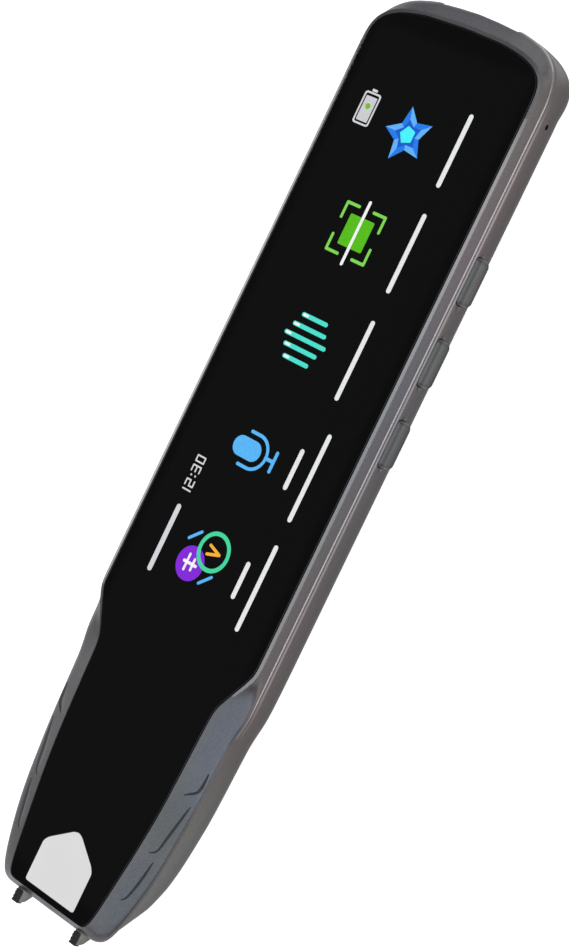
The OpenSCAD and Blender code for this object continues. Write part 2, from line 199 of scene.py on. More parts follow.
class Ref:
    """The smooth surface before it is cut, to give the cut mesh clean normals."""

    def __init__(self, ob):
        me = ob.data
        bm = bmesh.new()
        bm.from_mesh(me)
        bmesh.ops.triangulate(bm, faces=bm.faces)
        bm.verts.ensure_lookup_table()
        self.co = np.array([v.co for v in bm.verts])
        self.no = np.array([v.normal for v in me.vertices]) if len(me.vertices) == len(bm.verts) else np.array([v.normal for v in bm.verts])
        self.tri = [[v.index for v in f.verts] for f in bm.faces]
        self.fn = [f.normal.copy() for f in bm.faces]
        self.tree = BVHTree.FromPolygons([v.co for v in bm.verts], self.tri, all_triangles=True)
        bm.free()

    def normal(self, p):
        at, _, i, d = self.tree.find_nearest(p)
        a, b, c = self.tri[i]
        v0, v1, v2 = self.co[b] - self.co[a], self.co[c] - self.co[a], np.array(at) - self.co[a]
        d00, d01, d11, d20, d21 = v0 @ v0, v0 @ v1, v1 @ v1, v2 @ v0, v2 @ v1
        den = d00 * d11 - d01 * d01
        if abs(den) < 1e-14:
            return Vector(self.no[a])
        v = (d11 * d20 - d01 * d21) / den
        w = (d00 * d21 - d01 * d20) / den
        n = self.no[a] * (1 - v - w) + self.no[b] * v + self.no[c] * w
        return Vector(n).normalized()


def clean_normals(ob, refs, angle=32):
    """refs gives the reference for the faces of a material, by its name."""
    me = ob.data
    me.polygons.foreach_set("use_smooth", [True] * len(me.polygons))
    me.set_sharp_from_angle(angle=math.radians(angle))
    names = [m.name if m else "" for m in me.materials]
    out = [(0.0, 0.0, 0.0)] * len(me.loops)
    memo = {}
    for f in me.polygons:
        ref = refs.get(names[f.material_index]) if names else None
        if ref is None:
            continue
        for li in f.loop_indices:
            vi = me.loops[li].vertex_index
            key = (vi, names[f.material_index])
            if key not in memo:
                memo[key] = ref.normal(me.vertices[vi].co)
            n = memo[key]
            if n.dot(f.normal) > 0.6:
                out[li] = tuple(n)
    me.normals_split_custom_set(out)


def to_metres(ob):
    ob.data.transform(Matrix.Scale(0.001, 4))
    ob.data.update()
    return ob


def fillet(a, c, d, ta, td, k=5, pad=0.05):
    """Rows of points that round the corner c between rows a and d, with a support row at each end."""
    u, v = a - c, d - c
    lu, lv = np.linalg.norm(u, axis=1)[:, None] + 1e-9, np.linalg.norm(v, axis=1)[:, None] + 1e-9
    u, v = u / lu, v / lv
    tu, tv = np.minimum(ta, 0.8 * lu), np.minimum(td, 0.45 * lv)
    pu, pv = np.minimum(pad, 0.1 * lu), np.minimum(pad, 0.1 * lv)
    rows = [c + u * (tu + pu)]
    for s in np.linspace(0, 1, k + 1):
        rows.append((1 - s) ** 2 * (c + u * tu) + 2 * s * (1 - s) * c + s * s * (c + v * tv))
    rows.append(c + v * (tv + pv))
    return rows


# ------------------------------------------------------------------ materials
def tree(name):
    m = bpy.data.materials.new(name)
    m.use_nodes = True
    nt = m.node_tree
    nt.nodes.clear()
    out = nt.nodes.new("ShaderNodeOutputMaterial")
    b = nt.nodes.new("ShaderNodeBsdfPrincipled")
    nt.links.new(b.outputs[0], out.inputs["Surface"])
    return m, nt, b


def coords(nt):
    return nt.nodes.new("ShaderNodeTexCoord").outputs["Object"]


def noise(nt, co, scale, detail=2.0, rough=0.5, stretch=None):
    n = nt.nodes.new("ShaderNodeTexNoise")
    n.inputs["Scale"].default_value = scale
    n.inputs["Detail"].default_value = detail
    n.inputs["Roughness"].default_value = rough
    if stretch:
        mp = nt.nodes.new("ShaderNodeMapping")
        mp.inputs["Scale"].default_value = stretch
        nt.links.new(co, mp.inputs["Vector"])
        co = mp.outputs[0]
    nt.links.new(co, n.inputs["Vector"])
    return n.outputs["Fac"]


def ramp(nt, fac, stops):
    r = nt.nodes.new("ShaderNodeValToRGB")
    e = r.color_ramp.elements
    while len(e) < len(stops):
        e.new(0.5)
    for i, (p, c) in enumerate(stops):
        e[i].position = p
        e[i].color = (*c, 1) if len(c) == 3 else c
    nt.links.new(fac, r.inputs["Fac"])
    return r.outputs["Color"]


def span(nt, fac, a, b, lo=0.0, hi=1.0, smooth=False):
    m = nt.nodes.new("ShaderNodeMapRange")
    if smooth:
        m.interpolation_type = "SMOOTHSTEP"
    m.inputs["From Min"].default_value, m.inputs["From Max"].default_value = lo, hi
    m.inputs["To Min"].default_value, m.inputs["To Max"].default_value = a, b
    nt.links.new(fac, m.inputs["Value"])
    return m.outputs[0]


def mix_rgba(nt, fac, a, b, mode="MIX"):
    m = nt.nodes.new("ShaderNodeMix")
    m.data_type, m.blend_type = "RGBA", mode
    sock = {s.identifier: s for s in m.inputs}
    for ident, v in (("Factor_Float", fac), ("A_Color", a), ("B_Color", b)):
        s = sock[ident]
        if isinstance(v, (int, float)):
            s.default_value = v
        elif isinstance(v, tuple):
            s.default_value = (*v, 1)
        else:
            nt.links.new(v, s)
    out = {s.identifier: s for s in m.outputs}
    return out["Result_Color"]


def maths(nt, op, a, b=None, clamp=False):
    m = nt.nodes.new("ShaderNodeMath")
    m.operation, m.use_clamp = op, clamp
    for i, v in enumerate((a, b)):
        if v is None:
            continue
        if isinstance(v, (int, float)):
            m.inputs[i].default_value = v
        else:
            nt.links.new(v, m.inputs[i])
    return m.outputs[0]


def bump(nt, b, height, strength, distance):
    n = nt.nodes.new("ShaderNodeBump")
    n.inputs["Strength"].default_value = strength
    n.inputs["Distance"].default_value = distance
    nt.links.new(height, n.inputs["Height"])
    nt.links.new(n.outputs[0], b.inputs["Normal"])


def sep(nt, co):
    s = nt.nodes.new("ShaderNodeSeparateXYZ")
    nt.links.new(co, s.inputs[0])
    return s.outputs


def paint(name, base, metal=0.8, rough=(0.3, 0.42), coat=0.25, coat_rough=0.16, tint=0.5, flake=0.1, painted_light=()):
    """Satin metallic paint: a low pattern of warm, rosy and blue shades, fine flakes, and places of
    painted light and shade, each a centre, a radius along each axis in metres, and a colour to multiply by."""
    m, nt, b = tree(name)
    co = coords(nt)
    warm = tuple(c * k for c, k in zip(base, (1.08, 1.03, 0.93)))
    rosy = tuple(c * k for c, k in zip(base, (1.07, 0.96, 0.99)))
    cool = tuple(c * k for c, k in zip(base, (0.91, 0.99, 1.13)))
    shade = ramp(nt, noise(nt, co, 26, 1.0, 0.4, (1.0, 0.45, 1.0)),
                 [(0.32, cool), (0.46, base), (0.56, rosy), (0.68, warm)])
    col = mix_rgba(nt, tint, base, shade)
    # each place lightens or darkens the colour there: painted light and shade
    for centre, radius, tone in painted_light:
        mp = nt.nodes.new("ShaderNodeMapping")
        mp.vector_type = "TEXTURE"
        mp.inputs["Location"].default_value = centre
        mp.inputs["Scale"].default_value = radius
        nt.links.new(co, mp.inputs["Vector"])
        d = nt.nodes.new("ShaderNodeVectorMath")
        d.operation = "LENGTH"
        nt.links.new(mp.outputs[0], d.inputs[0])
        col = mix_rgba(nt, span(nt, d.outputs["Value"], 1.0, 0.0, 0.25, 1.0, True), col,
                       mix_rgba(nt, 1.0, col, tone, "MULTIPLY"))
    fl = nt.nodes.new("ShaderNodeTexVoronoi")
    fl.inputs["Scale"].default_value = 5200
    nt.links.new(co, fl.inputs["Vector"])
    cell = sep(nt, fl.outputs["Color"])[0]
    spark = span(nt, cell, 1 - flake, 1 + flake)
    comb = nt.nodes.new("ShaderNodeCombineColor")
    for i in range(3):
        nt.links.new(spark, comb.inputs[i])
    col = mix_rgba(nt, 1.0, col, comb.outputs[0], "MULTIPLY")
    nt.links.new(col, b.inputs["Base Color"])
    nt.links.new(span(nt, noise(nt, co, 420, 3.0, 0.6), rough[0], rough[1]), b.inputs["Roughness"])
    b.inputs["Metallic"].default_value = metal
    b.inputs["Coat Weight"].default_value = coat
    b.inputs["Coat Roughness"].default_value = coat_rough
    h = maths(nt, "ADD", noise(nt, co, 2600, 2.0), maths(nt, "MULTIPLY", cell, 0.5))
    bump(nt, b, h, 0.08, 0.00002)
    return m


def plastic(name, base, rough=(0.45, 0.6), grain=900, depth=0.00001, spread=0.12, metal=0.0, **more):
    m, nt, b = tree(name)
    co = coords(nt)
    lo = tuple(c * (1 - spread) for c in base)
    hi = tuple(min(1, c * (1 + spread)) for c in base)
    nt.links.new(ramp(nt, noise(nt, co, grain * 0.22, 3.0), [(0.3, lo), (0.7, hi)]), b.inputs["Base Color"])
    nt.links.new(span(nt, noise(nt, co, grain * 0.5, 2.0), rough[0], rough[1]), b.inputs["Roughness"])
    b.inputs["Metallic"].default_value = metal
    for k, v in more.items():
        b.inputs[k.replace("_", " ")].default_value = v
    bump(nt, b, noise(nt, co, grain * 2.2, 2.0), 0.3, depth)
    return m


def brushed(name, base, rough=(0.22, 0.4), stretch=(1.0, 0.06, 1.0), scale=2400, spread=0.1, metal=1.0, depth=0.000012):
    m, nt, b = tree(name)
    co = coords(nt)
    lines = noise(nt, co, scale, 3.0, 0.6, stretch)
    lo = tuple(c * (1 - spread) for c in base)
    hi = tuple(min(1, c * (1 + spread)) for c in base)
    nt.links.new(ramp(nt, lines, [(0.3, lo), (0.7, hi)]), b.inputs["Base Color"])
    nt.links.new(span(nt, lines, rough[0], rough[1]), b.inputs["Roughness"])
    b.inputs["Metallic"].default_value = metal
    bump(nt, b, lines, 0.25, depth)
    return m


def lit(name, col, glow=1.0, shade=0.12):
    """A lit patch of the screen picture: even, with a very faint pixel grid."""
    m, nt, b = tree(name)
    co = coords(nt)
    grid = noise(nt, co, 7000, 1.0)
    lo = tuple(c * (1 - shade) for c in col)
    hi = tuple(c * (1 + shade) for c in col)
    nt.links.new(ramp(nt, grid, [(0.35, lo), (0.65, hi)]), b.inputs["Emission Color"])
    b.inputs["Emission Strength"].default_value = glow
    b.inputs["Base Color"].default_value = (*[c * 0.15 for c in col], 1)
    nt.links.new(span(nt, noise(nt, co, 300, 2.0), 0.07, 0.12), b.inputs["Roughness"])
    return m


def srgb(*rgb):
    return tuple((c / 255) / 12.92 if c <= 10 else (((c / 255) + 0.055) / 1.055) ** 2.4 for c in rgb)


M = {}
# Painted light and shade on the frame: places where the paint is lightened or darkened, a few with a slight tint of
# reflected light. The left flank of the tip is lightened and the band at the tip's end darkened.
FRAME_PAINTED_LIGHT = [((0.0165, -0.044, 0.0112), (0.004, 0.020, 0.006), (0.93, 1.00, 1.14)),
               ((0.0140, -0.068, 0.0105), (0.006, 0.012, 0.006), (0.86, 0.91, 0.99)),
               ((0.0185, 0.045, 0.0112), (0.003, 0.026, 0.004), (1.04, 0.98, 1.01)),
               ((0.0148, -0.0545, 0.0112), (0.004, 0.008, 0.006), (0.85, 0.88, 0.85)),
               ((-0.0140, -0.066, 0.0112), (0.008, 0.026, 0.006), (1.52, 1.52, 1.49)),
               ((0.0000, -0.0776, 0.0112), (0.0125, 0.0032, 0.004), (0.27, 0.27, 0.255))]
# Painted light and shade on the rear shell: the flat back and the lower right flank of the tip are lightened, and a few
# places take a slight tint of reflected light.
SHELL_PAINTED_LIGHT = [((0.0180, 0.050, 0.0080), (0.005, 0.030, 0.006), (1.02, 0.98, 0.99)),
               ((0.0150, -0.060, 0.0070), (0.007, 0.024, 0.007), (1.25, 1.42, 1.44)),
               ((0.0000, 0.000, 0.0000), (0.0140, 0.12, 0.0030), (1.55, 1.55, 1.55)),
               ((-0.0120, 0.050, 0.0020), (0.006, 0.030, 0.005), (0.93, 0.99, 1.10)),
               ((0.0100, 0.060, 0.0020), (0.006, 0.012, 0.004), (1.08, 0.97, 1.01))]
M["shell"] = paint("shell_paint", (0.165, 0.152, 0.155), painted_light=SHELL_PAINTED_LIGHT)
M["frame"] = paint("frame_paint", (0.155, 0.152, 0.160), tint=0.6, painted_light=FRAME_PAINTED_LIGHT)
# The edge, lip and rim paints are lighter copies of the paint: their lower roughness is the polish, their lighter
# colour a painted highlight along the chamfers of the parting line and the rim around the glass. These places darken
# the painted highlights towards their ends.
EDGE_HIGHLIGHT_ENDS = [((0.0, 0.076, 0.011), (0.06, 0.022, 0.03), (0.34, 0.36, 0.37)), ((0.0, -0.056, 0.011), (0.06, 0.034, 0.03), (0.30, 0.31, 0.33))]
# Painted shade on the right side of the rim.
RIM_PAINTED_SHADE = [((0.018, -0.008, 0.012), (0.006, 0.05, 0.004), (0.80, 0.81, 0.80))]
M["rim"] = paint("rim_painted_highlight", (0.385, 0.352, 0.345), rough=(0.2, 0.28), tint=0.4, flake=0.05, painted_light=EDGE_HIGHLIGHT_ENDS + RIM_PAINTED_SHADE)
M["edge"] = paint("edge_painted_highlight", (0.335, 0.315, 0.320), rough=(0.24, 0.32), tint=0.4, flake=0.05, painted_light=EDGE_HIGHLIGHT_ENDS)
M["edge_2"] = paint("lip_painted_highlight", (0.56, 0.53, 0.54), rough=(0.2, 0.28), tint=0.4, flake=0.05, painted_light=EDGE_HIGHLIGHT_ENDS[1:])
# Painted shade on the lower part of the keys.
KEY_PAINTED_SHADE = [((0.0194, 0.0254, 0.0062), (0.002, 0.05, 0.0013), (0.58, 0.58, 0.59))]
M["key"] = paint("key_paint", (0.118, 0.124, 0.122), tint=0.25, flake=0.06, painted_light=KEY_PAINTED_SHADE)
# Darker paint on the walls of holes, pockets and cuts: painted shade in the recesses.
M["cut"] = paint("recess_painted_shade", (0.085, 0.080, 0.082), tint=0.2)
# Dark paint in the crease grooves: painted shade.
M["crease"] = paint("crease_painted_shade", (0.070, 0.071, 0.075), metal=0.5, rough=(0.45, 0.55), coat=0.05, tint=0.2)
M["floor_cut"] = paint("stripe_floor", (0.105, 0.098, 0.085), tint=0.35, rough=(0.2, 0.3), coat=0.5, coat_rough=0.1)
M["badge"] = paint("badge_paint", (0.168, 0.154, 0.157), tint=0.4)
M["inside"] = plastic("inside_black", (0.012, 0.012, 0.013), rough=(0.6, 0.75))

M["black_plastic"] = plastic("black_plastic_fine", (0.02, 0.02, 0.022), rough=(0.45, 0.6))
M["white_plastic"] = plastic("white_plastic_fine", (0.78, 0.78, 0.75), rough=(0.4, 0.55), spread=0.03)
M["rubber"] = plastic("seal_rubber_fine", (0.028, 0.028, 0.028), rough=(0.7, 0.85), grain=1600, depth=0.00002)
M["tape"] = plastic("black_tape_fine", (0.012, 0.012, 0.012), rough=(0.75, 0.9), grain=2600, depth=0.00003)
M["display"] = plastic("display_fine", (0.012, 0.012, 0.014), rough=(0.15, 0.25), grain=300, depth=0.000002)
M["alloy"] = brushed("chassis_alloy_fine", (0.5, 0.5, 0.52))
M["steel"] = brushed("bright_steel_fine", (0.62, 0.62, 0.64), rough=(0.16, 0.3))
M["port_steel"] = brushed("port_steel_fine", (0.42, 0.42, 0.44), rough=(0.2, 0.34), stretch=(0.1, 1.0, 1.0))
M["brass"] = brushed("brass_can_fine", (0.62, 0.46, 0.2), rough=(0.2, 0.35))
M["tip_steel"] = brushed("tip_steel_fine", (0.27, 0.27, 0.265), rough=(0.3, 0.46), stretch=(1.0, 1.0, 0.25), scale=1500, spread=0.16)


def circuit(name):
    m, nt, b = tree(name)
    co = coords(nt)
    v = nt.nodes.new("ShaderNodeTexVoronoi")
    v.distance, v.feature = "MANHATTAN", "DISTANCE_TO_EDGE"
    v.feature = "F1"
    v.inputs["Scale"].default_value = 520
    nt.links.new(co, v.inputs["Vector"])
    tracks = span(nt, v.outputs["Distance"], 0.0, 1.0, 0.45, 0.6, True)
    nt.links.new(ramp(nt, tracks, [(0.0, (0.012, 0.11, 0.05)), (1.0, (0.03, 0.2, 0.09))]), b.inputs["Base Color"])
    nt.links.new(span(nt, noise(nt, co, 260), 0.22, 0.34), b.inputs["Roughness"])
    bump(nt, b, tracks, 0.3, 0.00002)
    return m


def film(name):
    m, nt, b = tree(name)
    co = coords(nt)
    w = nt.nodes.new("ShaderNodeTexWave")
    w.bands_direction = "X"
    w.inputs["Scale"].default_value = 380
    w.inputs["Distortion"].default_value = 0.4
    nt.links.new(co, w.inputs["Vector"])
    nt.links.new(ramp(nt, w.outputs["Fac"], [(0.35, (0.36, 0.15, 0.03)), (0.6, (0.6, 0.3, 0.07))]), b.inputs["Base Color"])
    nt.links.new(span(nt, noise(nt, co, 200), 0.25, 0.4), b.inputs["Roughness"])
    b.inputs["Coat Weight"].default_value = 0.4
    return m


def foil(name):
    m, nt, b = tree(name)
    co = coords(nt)
    n = noise(nt, co, 160, 4.0, 0.6)
    nt.links.new(ramp(nt, n, [(0.3, (0.5, 0.5, 0.52)), (0.7, (0.66, 0.66, 0.68))]), b.inputs["Base Color"])
    nt.links.new(span(nt, n, 0.28, 0.5), b.inputs["Roughness"])
    b.inputs["Metallic"].default_value = 0.9
    bump(nt, b, n, 0.4, 0.0001)
    return m


def wire_mesh(name):
    m, nt, b = tree(name)
    co = coords(nt)
    a = nt.nodes.new("ShaderNodeTexWave")
    a.bands_direction = "X"
    c = nt.nodes.new("ShaderNodeTexWave")
    c.bands_direction = "Y"
    for w in (a, c):
        w.inputs["Scale"].default_value = 1500
        nt.links.new(co, w.inputs["Vector"])
    both = maths(nt, "MAXIMUM", a.outputs["Fac"], c.outputs["Fac"])
    nt.links.new(ramp(nt, both, [(0.3, (0.002, 0.002, 0.002)), (0.8, (0.02, 0.02, 0.021))]), b.inputs["Base Color"])
    nt.links.new(span(nt, both, 0.7, 0.45), b.inputs["Roughness"])
    b.inputs["Metallic"].default_value = 0.5
    bump(nt, b, both, 0.5, 0.00003)
    return m


M["pcb"], M["flex"], M["foil"], M["mesh"] = circuit("circuit_board_fine"), film("flex_circuit_fine"), foil("battery_foil_fine"), wire_mesh("dark_mesh_fine")


def glass_black():
    """Glass printed black behind: the picture area is a trace lighter than the border."""
    m, nt, b = tree("cover_glass_fine")
    co = coords(nt)
    x, y, _ = sep(nt, co)
    ax = maths(nt, "ABSOLUTE", x)
    inx = span(nt, ax, 1.0, 0.0, 0.0150, 0.0166, True)
    iny = maths(nt, "MULTIPLY", span(nt, y, 0.0, 1.0, -0.0740, -0.0715, True), span(nt, y, 1.0, 0.0, 0.0690, 0.0712, True))
    lift = maths(nt, "MULTIPLY", inx, iny)
    nt.links.new(ramp(nt, lift, [(0.0, (0.0002, 0.0002, 0.0002)), (1.0, (0.0024, 0.0024, 0.0024))]), b.inputs["Base Color"])
    smear = noise(nt, co, 45, 4.0, 0.65, (1.0, 0.5, 1.0))
    nt.links.new(span(nt, smear, 0.03, 0.075), b.inputs["Roughness"])
    b.inputs["IOR"].default_value = 1.5
    b.inputs["Coat Weight"].default_value = 0.0
    return m


def window_glass():
    m, nt, b = tree("window_clear_fine")
    co = coords(nt)
    n = noise(nt, co, 120, 3.0)
    nt.links.new(ramp(nt, n, [(0.3, (0.43, 0.40, 0.385)), (0.7, (0.46, 0.43, 0.415))]), b.inputs["Base Color"])
    nt.links.new(span(nt, n, 0.06, 0.12), b.inputs["Roughness"])
    # The emission is painted light that makes the window glow evenly.
    b.inputs["Emission Color"].default_value = (0.8, 0.8, 0.8, 1)
    b.inputs["Emission Strength"].default_value = 0.56
    return m


M["glass"], M["window"] = glass_black(), window_glass()


# ------------------------------------------------------------------ rear shell
def side_rows(p, q, z_top, z_low, thetas):
    """Rows down the rounded side, from the outline p at z_top to the flat q at z_low."""
    rows = []
    for t in thetas:
        t = np.clip(np.broadcast_to(t, FULL.shape), 0, math.pi / 2)
        out = np.clip(np.cos(t), 0, 1) ** (2 / FULL)
        rows.append(np.column_stack([q + (p - q) * out[:, None], z_top - (z_top - z_low) * np.sin(t) ** (2 / FULL)]))
    return rows


def angle_at(z, z_low=0.0):
    return np.arcsin(((PART_Z - z) / (PART_Z - z_low)) ** (FULL / 2))


def side_at(z):
    """The outline of the body at a height below the parting line."""
    share = np.clip(1 - ((PART_Z - min(z, PART_Z)) / PART_Z) ** FULL, 0, 1) ** (1 / FULL)
    return Q + (P - Q) * share[:, None]


def build_shell():
    # a lip with a chamfer under the parting line, a shallow groove and a second chamfer; both chamfers are painted
    # lighter, a painted highlight
    rows = [at_z(grow(P, -1.2), 10.03), at_z(grow(P, -0.15 * SEAM - 0.01), 10.03), at_z(grow(P, -0.12 * SEAM - 0.005), 10.02),
            at_z(grow(P, -0.005), 9.87), at_z(side_at(9.84), 9.84), at_z(side_at(9.68), 9.68),
            at_z(grow(side_at(9.63), -0.07 * SEAM), 9.63), at_z(grow(side_at(9.36), -0.09 * SEAM), 9.36),
            at_z(grow(side_at(9.33), -0.08 * SEAM), 9.33), at_z(grow(side_at(9.02), -0.01 * SEAM), 9.02), at_z(side_at(8.97), 8.97)]
    # these bands take the lighter edge and lip paints: painted highlights along the chamfers
    bright = {2: 3, 7: 2, 8: 2, 9: 2}
    t0 = angle_at(8.97)
    steps = [t0 + (math.radians(20) - t0) * k / 4 for k in range(1, 4)]
    rows += side_rows(P, Q, PART_Z, 0.0, steps + list(np.radians(np.linspace(20, 90, 22))))
    rows.append(at_z(grow(Q, -0.3), 0.0))
    outer = len(rows)
    # inside surface, from the lip down to the floor
    pin = grow(P, -1.2)
    qin = Q + (P - Q) * 0.02
    inner = side_rows(pin, qin, 10.02, 1.3, list(np.radians([12, 26, 40, 54, 66, 78, 90])))
    n = N
    verts = np.concatenate(rows + inner)
    faces, k = [], len(rows)
    for r in range(outer - 1):
        a, b = r * n, (r + 1) * n
        faces += [(a + i, a + (i + 1) % n, b + (i + 1) % n, b + i) for i in range(n)]
    faces.append(tuple((outer - 1) * n + i for i in range(n)))
    for r in range(len(inner)):
        a, b = (0 if r == 0 else (k + r - 1) * n), (k + r) * n
        faces += [(a + i, b + i, b + (i + 1) % n, a + (i + 1) % n) for i in range(n)]
    faces.append(tuple((k + len(inner) - 1) * n + i for i in range(n))[::-1])
    ob = make("rear_shell_skin", verts, faces, [M["shell"], M["inside"], M["edge"], M["edge_2"]])
    for f in ob.data.polygons:
        band = min(f.vertices) // n
        inside = all(v >= k * n or v < n for v in f.vertices)
        f.material_index = 1 if inside else bright.get(band, 0) if len(f.vertices) == 4 and f.center.y > -38.5 else 0
    return ob


def stripe(i):
    y = 42.8 - (i - 1) * 6.4
    if i == 0:
        return [(13.6, 54), (13.2, 54.4), (7.1, 41.3), (7.5, 40.7), (13.6, 47)]
    return [(13.6, y - 0.3), (13.2, y), (7.1, y - 6.2), (7.1, y - 8.4), (7.5, y - 8.7), (13, y - 3.2), (13.6, y - 2.5)]


def stadium(cx, cz, half, r, y0, y1, n=14):
    pts = []
    for a in np.linspace(-math.pi / 2, math.pi / 2, n):
        pts.append((cx + half + r * math.cos(a), cz + r * math.sin(a)))
    for a in np.linspace(math.pi / 2, 3 * math.pi / 2, n):
        pts.append((cx - half + r * math.cos(a), cz + r * math.sin(a)))
    return pts


def rounded_rect(x0, x1, y0, y1, r, n=5):
    pts = []
    for cx, cy, a0 in ((x1 - r, y1 - r, 0), (x0 + r, y1 - r, 90), (x0 + r, y0 + r, 180), (x1 - r, y0 + r, 270)):
        for a in np.radians(np.linspace(a0, a0 + 90, n + 1)):
            pts.append((cx + r * math.cos(a), cy + r * math.sin(a)))
    return pts


STEP = [(-8.2, 79), (8.2, 79), (8.2, 76.06), (4.1, 76.4), (0, 76.54), (-4.1, 76.4), (-8.2, 76.06)]


def shell_cutters():
    parts = []
    # speaker holes, each with a small flare at the surface
    for i in range(-3, 4):
        for j in range(-2, 3):
            if abs(i) < 3 or abs(j) < 2:
                parts.append(turned([(0.68, -0.1), (0.62, 0.0), (0.525, 0.13), (0.525, 2.2)],
                                    (i * GRILLE_P, GRILLE_Y + j * GRILLE_P, 0), n=20))
    # seat of the badge disc
    parts.append(turned([(3.99, -0.1), (3.94, 0.0), (3.86, 0.1), (3.86, 0.85)], (0, 45.9, 0), n=72))
    # microphone hole
    parts.append(turned([(0.4, 14), (0.4, 17.9), (0.55, 18.7), (0.55, 20)], (0, 64.7, 7.1), axis="x", n=20))
    # key pockets; the dips at their ends are cut in build_rear
    for y in KEYS_Y:
        r = rounded_rect(y - 4.06, y + 4.06, KEY_Z - 1.39, KEY_Z + 1.36, 0.85)
        rings = [np.column_stack([np.full(len(r), x), [p[0] for p in r], [p[1] for p in r]]) for x in (15, 20)]
        parts.append(loft(rings))
    # socket mouth, with a small flare
    for grow_by, y0, y1 in ((0.0, 70, 76.3),):
        p = stadium(0, 6.4, 3.05, 1.68, y0, y1)
        rings = []
        for y, k in ((70, 0.0), (76.0, 0.0), (76.42, 0.0), (76.75, 0.22), (80, 0.22)):
            q = stadium(0, 6.4, 3.05, 1.68 + k, y0, y1)
            rings.append(np.array([(a, y, b) for a, b in q]))
        parts.append(loft(rings))
    return make("cut_a", *merged(parts), [M["cut"]])


def build_rear():
    shell = build_shell()
    ref = Ref(shell)
    # a core set in by the depth of the stripes leaves floors that follow the curve
    core_rows = side_rows(grow(P, -0.3), Q, PART_Z, 0.3, list(np.radians(np.linspace(0, 90, 24))))
    core = make("core", *loft(core_rows + [at_z(grow(Q, -0.3), 0.3)]), [M["floor_cut"]])
    core_ref = Ref(core)
    parts = []
    for i in range(6):
        for s in (1, -1):
            poly = np.array([(s * x, y) for x, y in stripe(i)][::s], float)
            poly = chaikin_corner(poly, 0.14)
            parts.append(prism(poly, -1, 3.2))
    cut = make("cut_stripes", *merged(parts), [M["cut"]])
    boolean(cut, core)
    boolean(shell, cut)
    boolean(shell, shell_cutters())
    # finger dips at the ends of the keys, step in the top end, notch for the tip parts
    parts = []
    for y in KEYS_Y:
        for s in (-1, 1):
            parts.append(turned([(1e-3, -1.25), (0.48, -1.155), (0.88, -0.884), (1.155, -0.478), (1.25, 0.0),
                                 (1.155, 0.478), (0.88, 0.884), (0.48, 1.155), (1e-3, 1.25)],
                                (19.28, y + s * 4.1, KEY_Z - 0.3), n=32))
    boolean(shell, make("cut_scoops", *merged(parts), [M["shell"]]))
    boolean(shell, make("cut_step", *prism(STEP, 2.2, 12.0), [M["shell"]]))
    notch = [(-8, -80), (-8, -69.25), (-7.65, -68.9), (7.65, -68.9), (8, -69.25), (8, -80)]
    boolean(shell, make("cut_notch", *prism(notch, -1, 11.2), [M["cut"]]))
    # screw posts
    posts = [turned([(2.2, 0.2), (2.2, 8.5), (2.1, 8.6), (0.67, 8.6), (0.67, 3.4), (1e-3, 3.4)], (x, y, 0), n=28)
             for x, y in ((13.4, 60.4), (-13.4, 60.4), (-14.3, 34), (14.2, -21.6), (-14.2, -21.6))]
    clean_normals(shell, {"shell_paint": ref, "edge_painted_highlight": ref, "lip_painted_highlight": ref, "stripe_floor": core_ref})
    to_metres(shell)
    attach(shell, HOUSING)
    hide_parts("rear_shell")
    ob = make("screw_posts", *merged(posts), [M["inside"]])
    core_rows = side_rows(grow(P, -0.7), Q, PART_Z, 0.8, list(np.radians(np.linspace(0, 90, 20))))
    boolean(ob, make("core_2", *loft(core_rows), [M["inside"]]), "INTERSECT")
    clean_normals(ob, {})
    to_metres(ob)
    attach(ob, HOUSING)
    return shell


def chaikin_corner(poly, r, k=3):
    """Rounds the corners of a polygon by about r."""
    out, n = [], len(poly)
    for i in range(n):
        a, c, b = poly[i - 1], poly[i], poly[(i + 1) % n]
        u, v = a - c, b - c
        lu, lv = np.linalg.norm(u), np.linalg.norm(v)
        t = min(r, 0.4 * lu, 0.4 * lv)
        p0, p1 = c + u / lu * t, c + v / lv * t
        for s in np.linspace(0, 1, k + 1):
            out.append((1 - s) ** 2 * p0 + 2 * s * (1 - s) * c + s * s * p1)
    return np.array(out)


# ------------------------------------------------------------------ front frame
def frame_rows():
    """Rows of the frame's closed section, and the numbers of those that start the rim band, painted lighter as a
    highlight.
    """
    gi = grow(G, -1.3)
    gi[:, 1] = np.clip(gi[:, 1], -74.3, 72.0)
    bi = grow(P, -1.3)
    gp = grow(G, 0.13)
    low, ledge = 10.04, 11.3
    wall = grow(P, -0.1 * SEAM)
    rows = [at_z(gi, 10.3), at_z(bi, 10.3), at_z(bi, low), at_z(grow(wall, -0.02), low), at_z(wall, 10.08)]
    c, d, e = at_z(wall, 10.72), np.column_stack([grow(G, 0.13 + 0.67 * RIM), RIM_IN - (RIM_IN - RIM_OUT) * RIM]), at_z(gp, RIM_IN)
    f, g = at_z(gp, ledge), at_z(gi, ledge)
    away = np.clip((P[:, 1:2] + 76.6) / 2.2, 0, 1)  # a tighter rounding at the end of the tip
    rows += fillet(rows[-1], c, d, 0.4 + 0.1 * away, 1.0 + 0.4 * away, k=8)
    corner = fillet(c, d, e, 0.1, 0.1, k=3, pad=0.03)
    rows += corner
    bright = list(range(len(rows) - 2, len(rows) + 2))
    rows += fillet(d, e, f, 0.08, 0.08, k=4, pad=0.02)
    rows += [f, g]
    return rows, bright


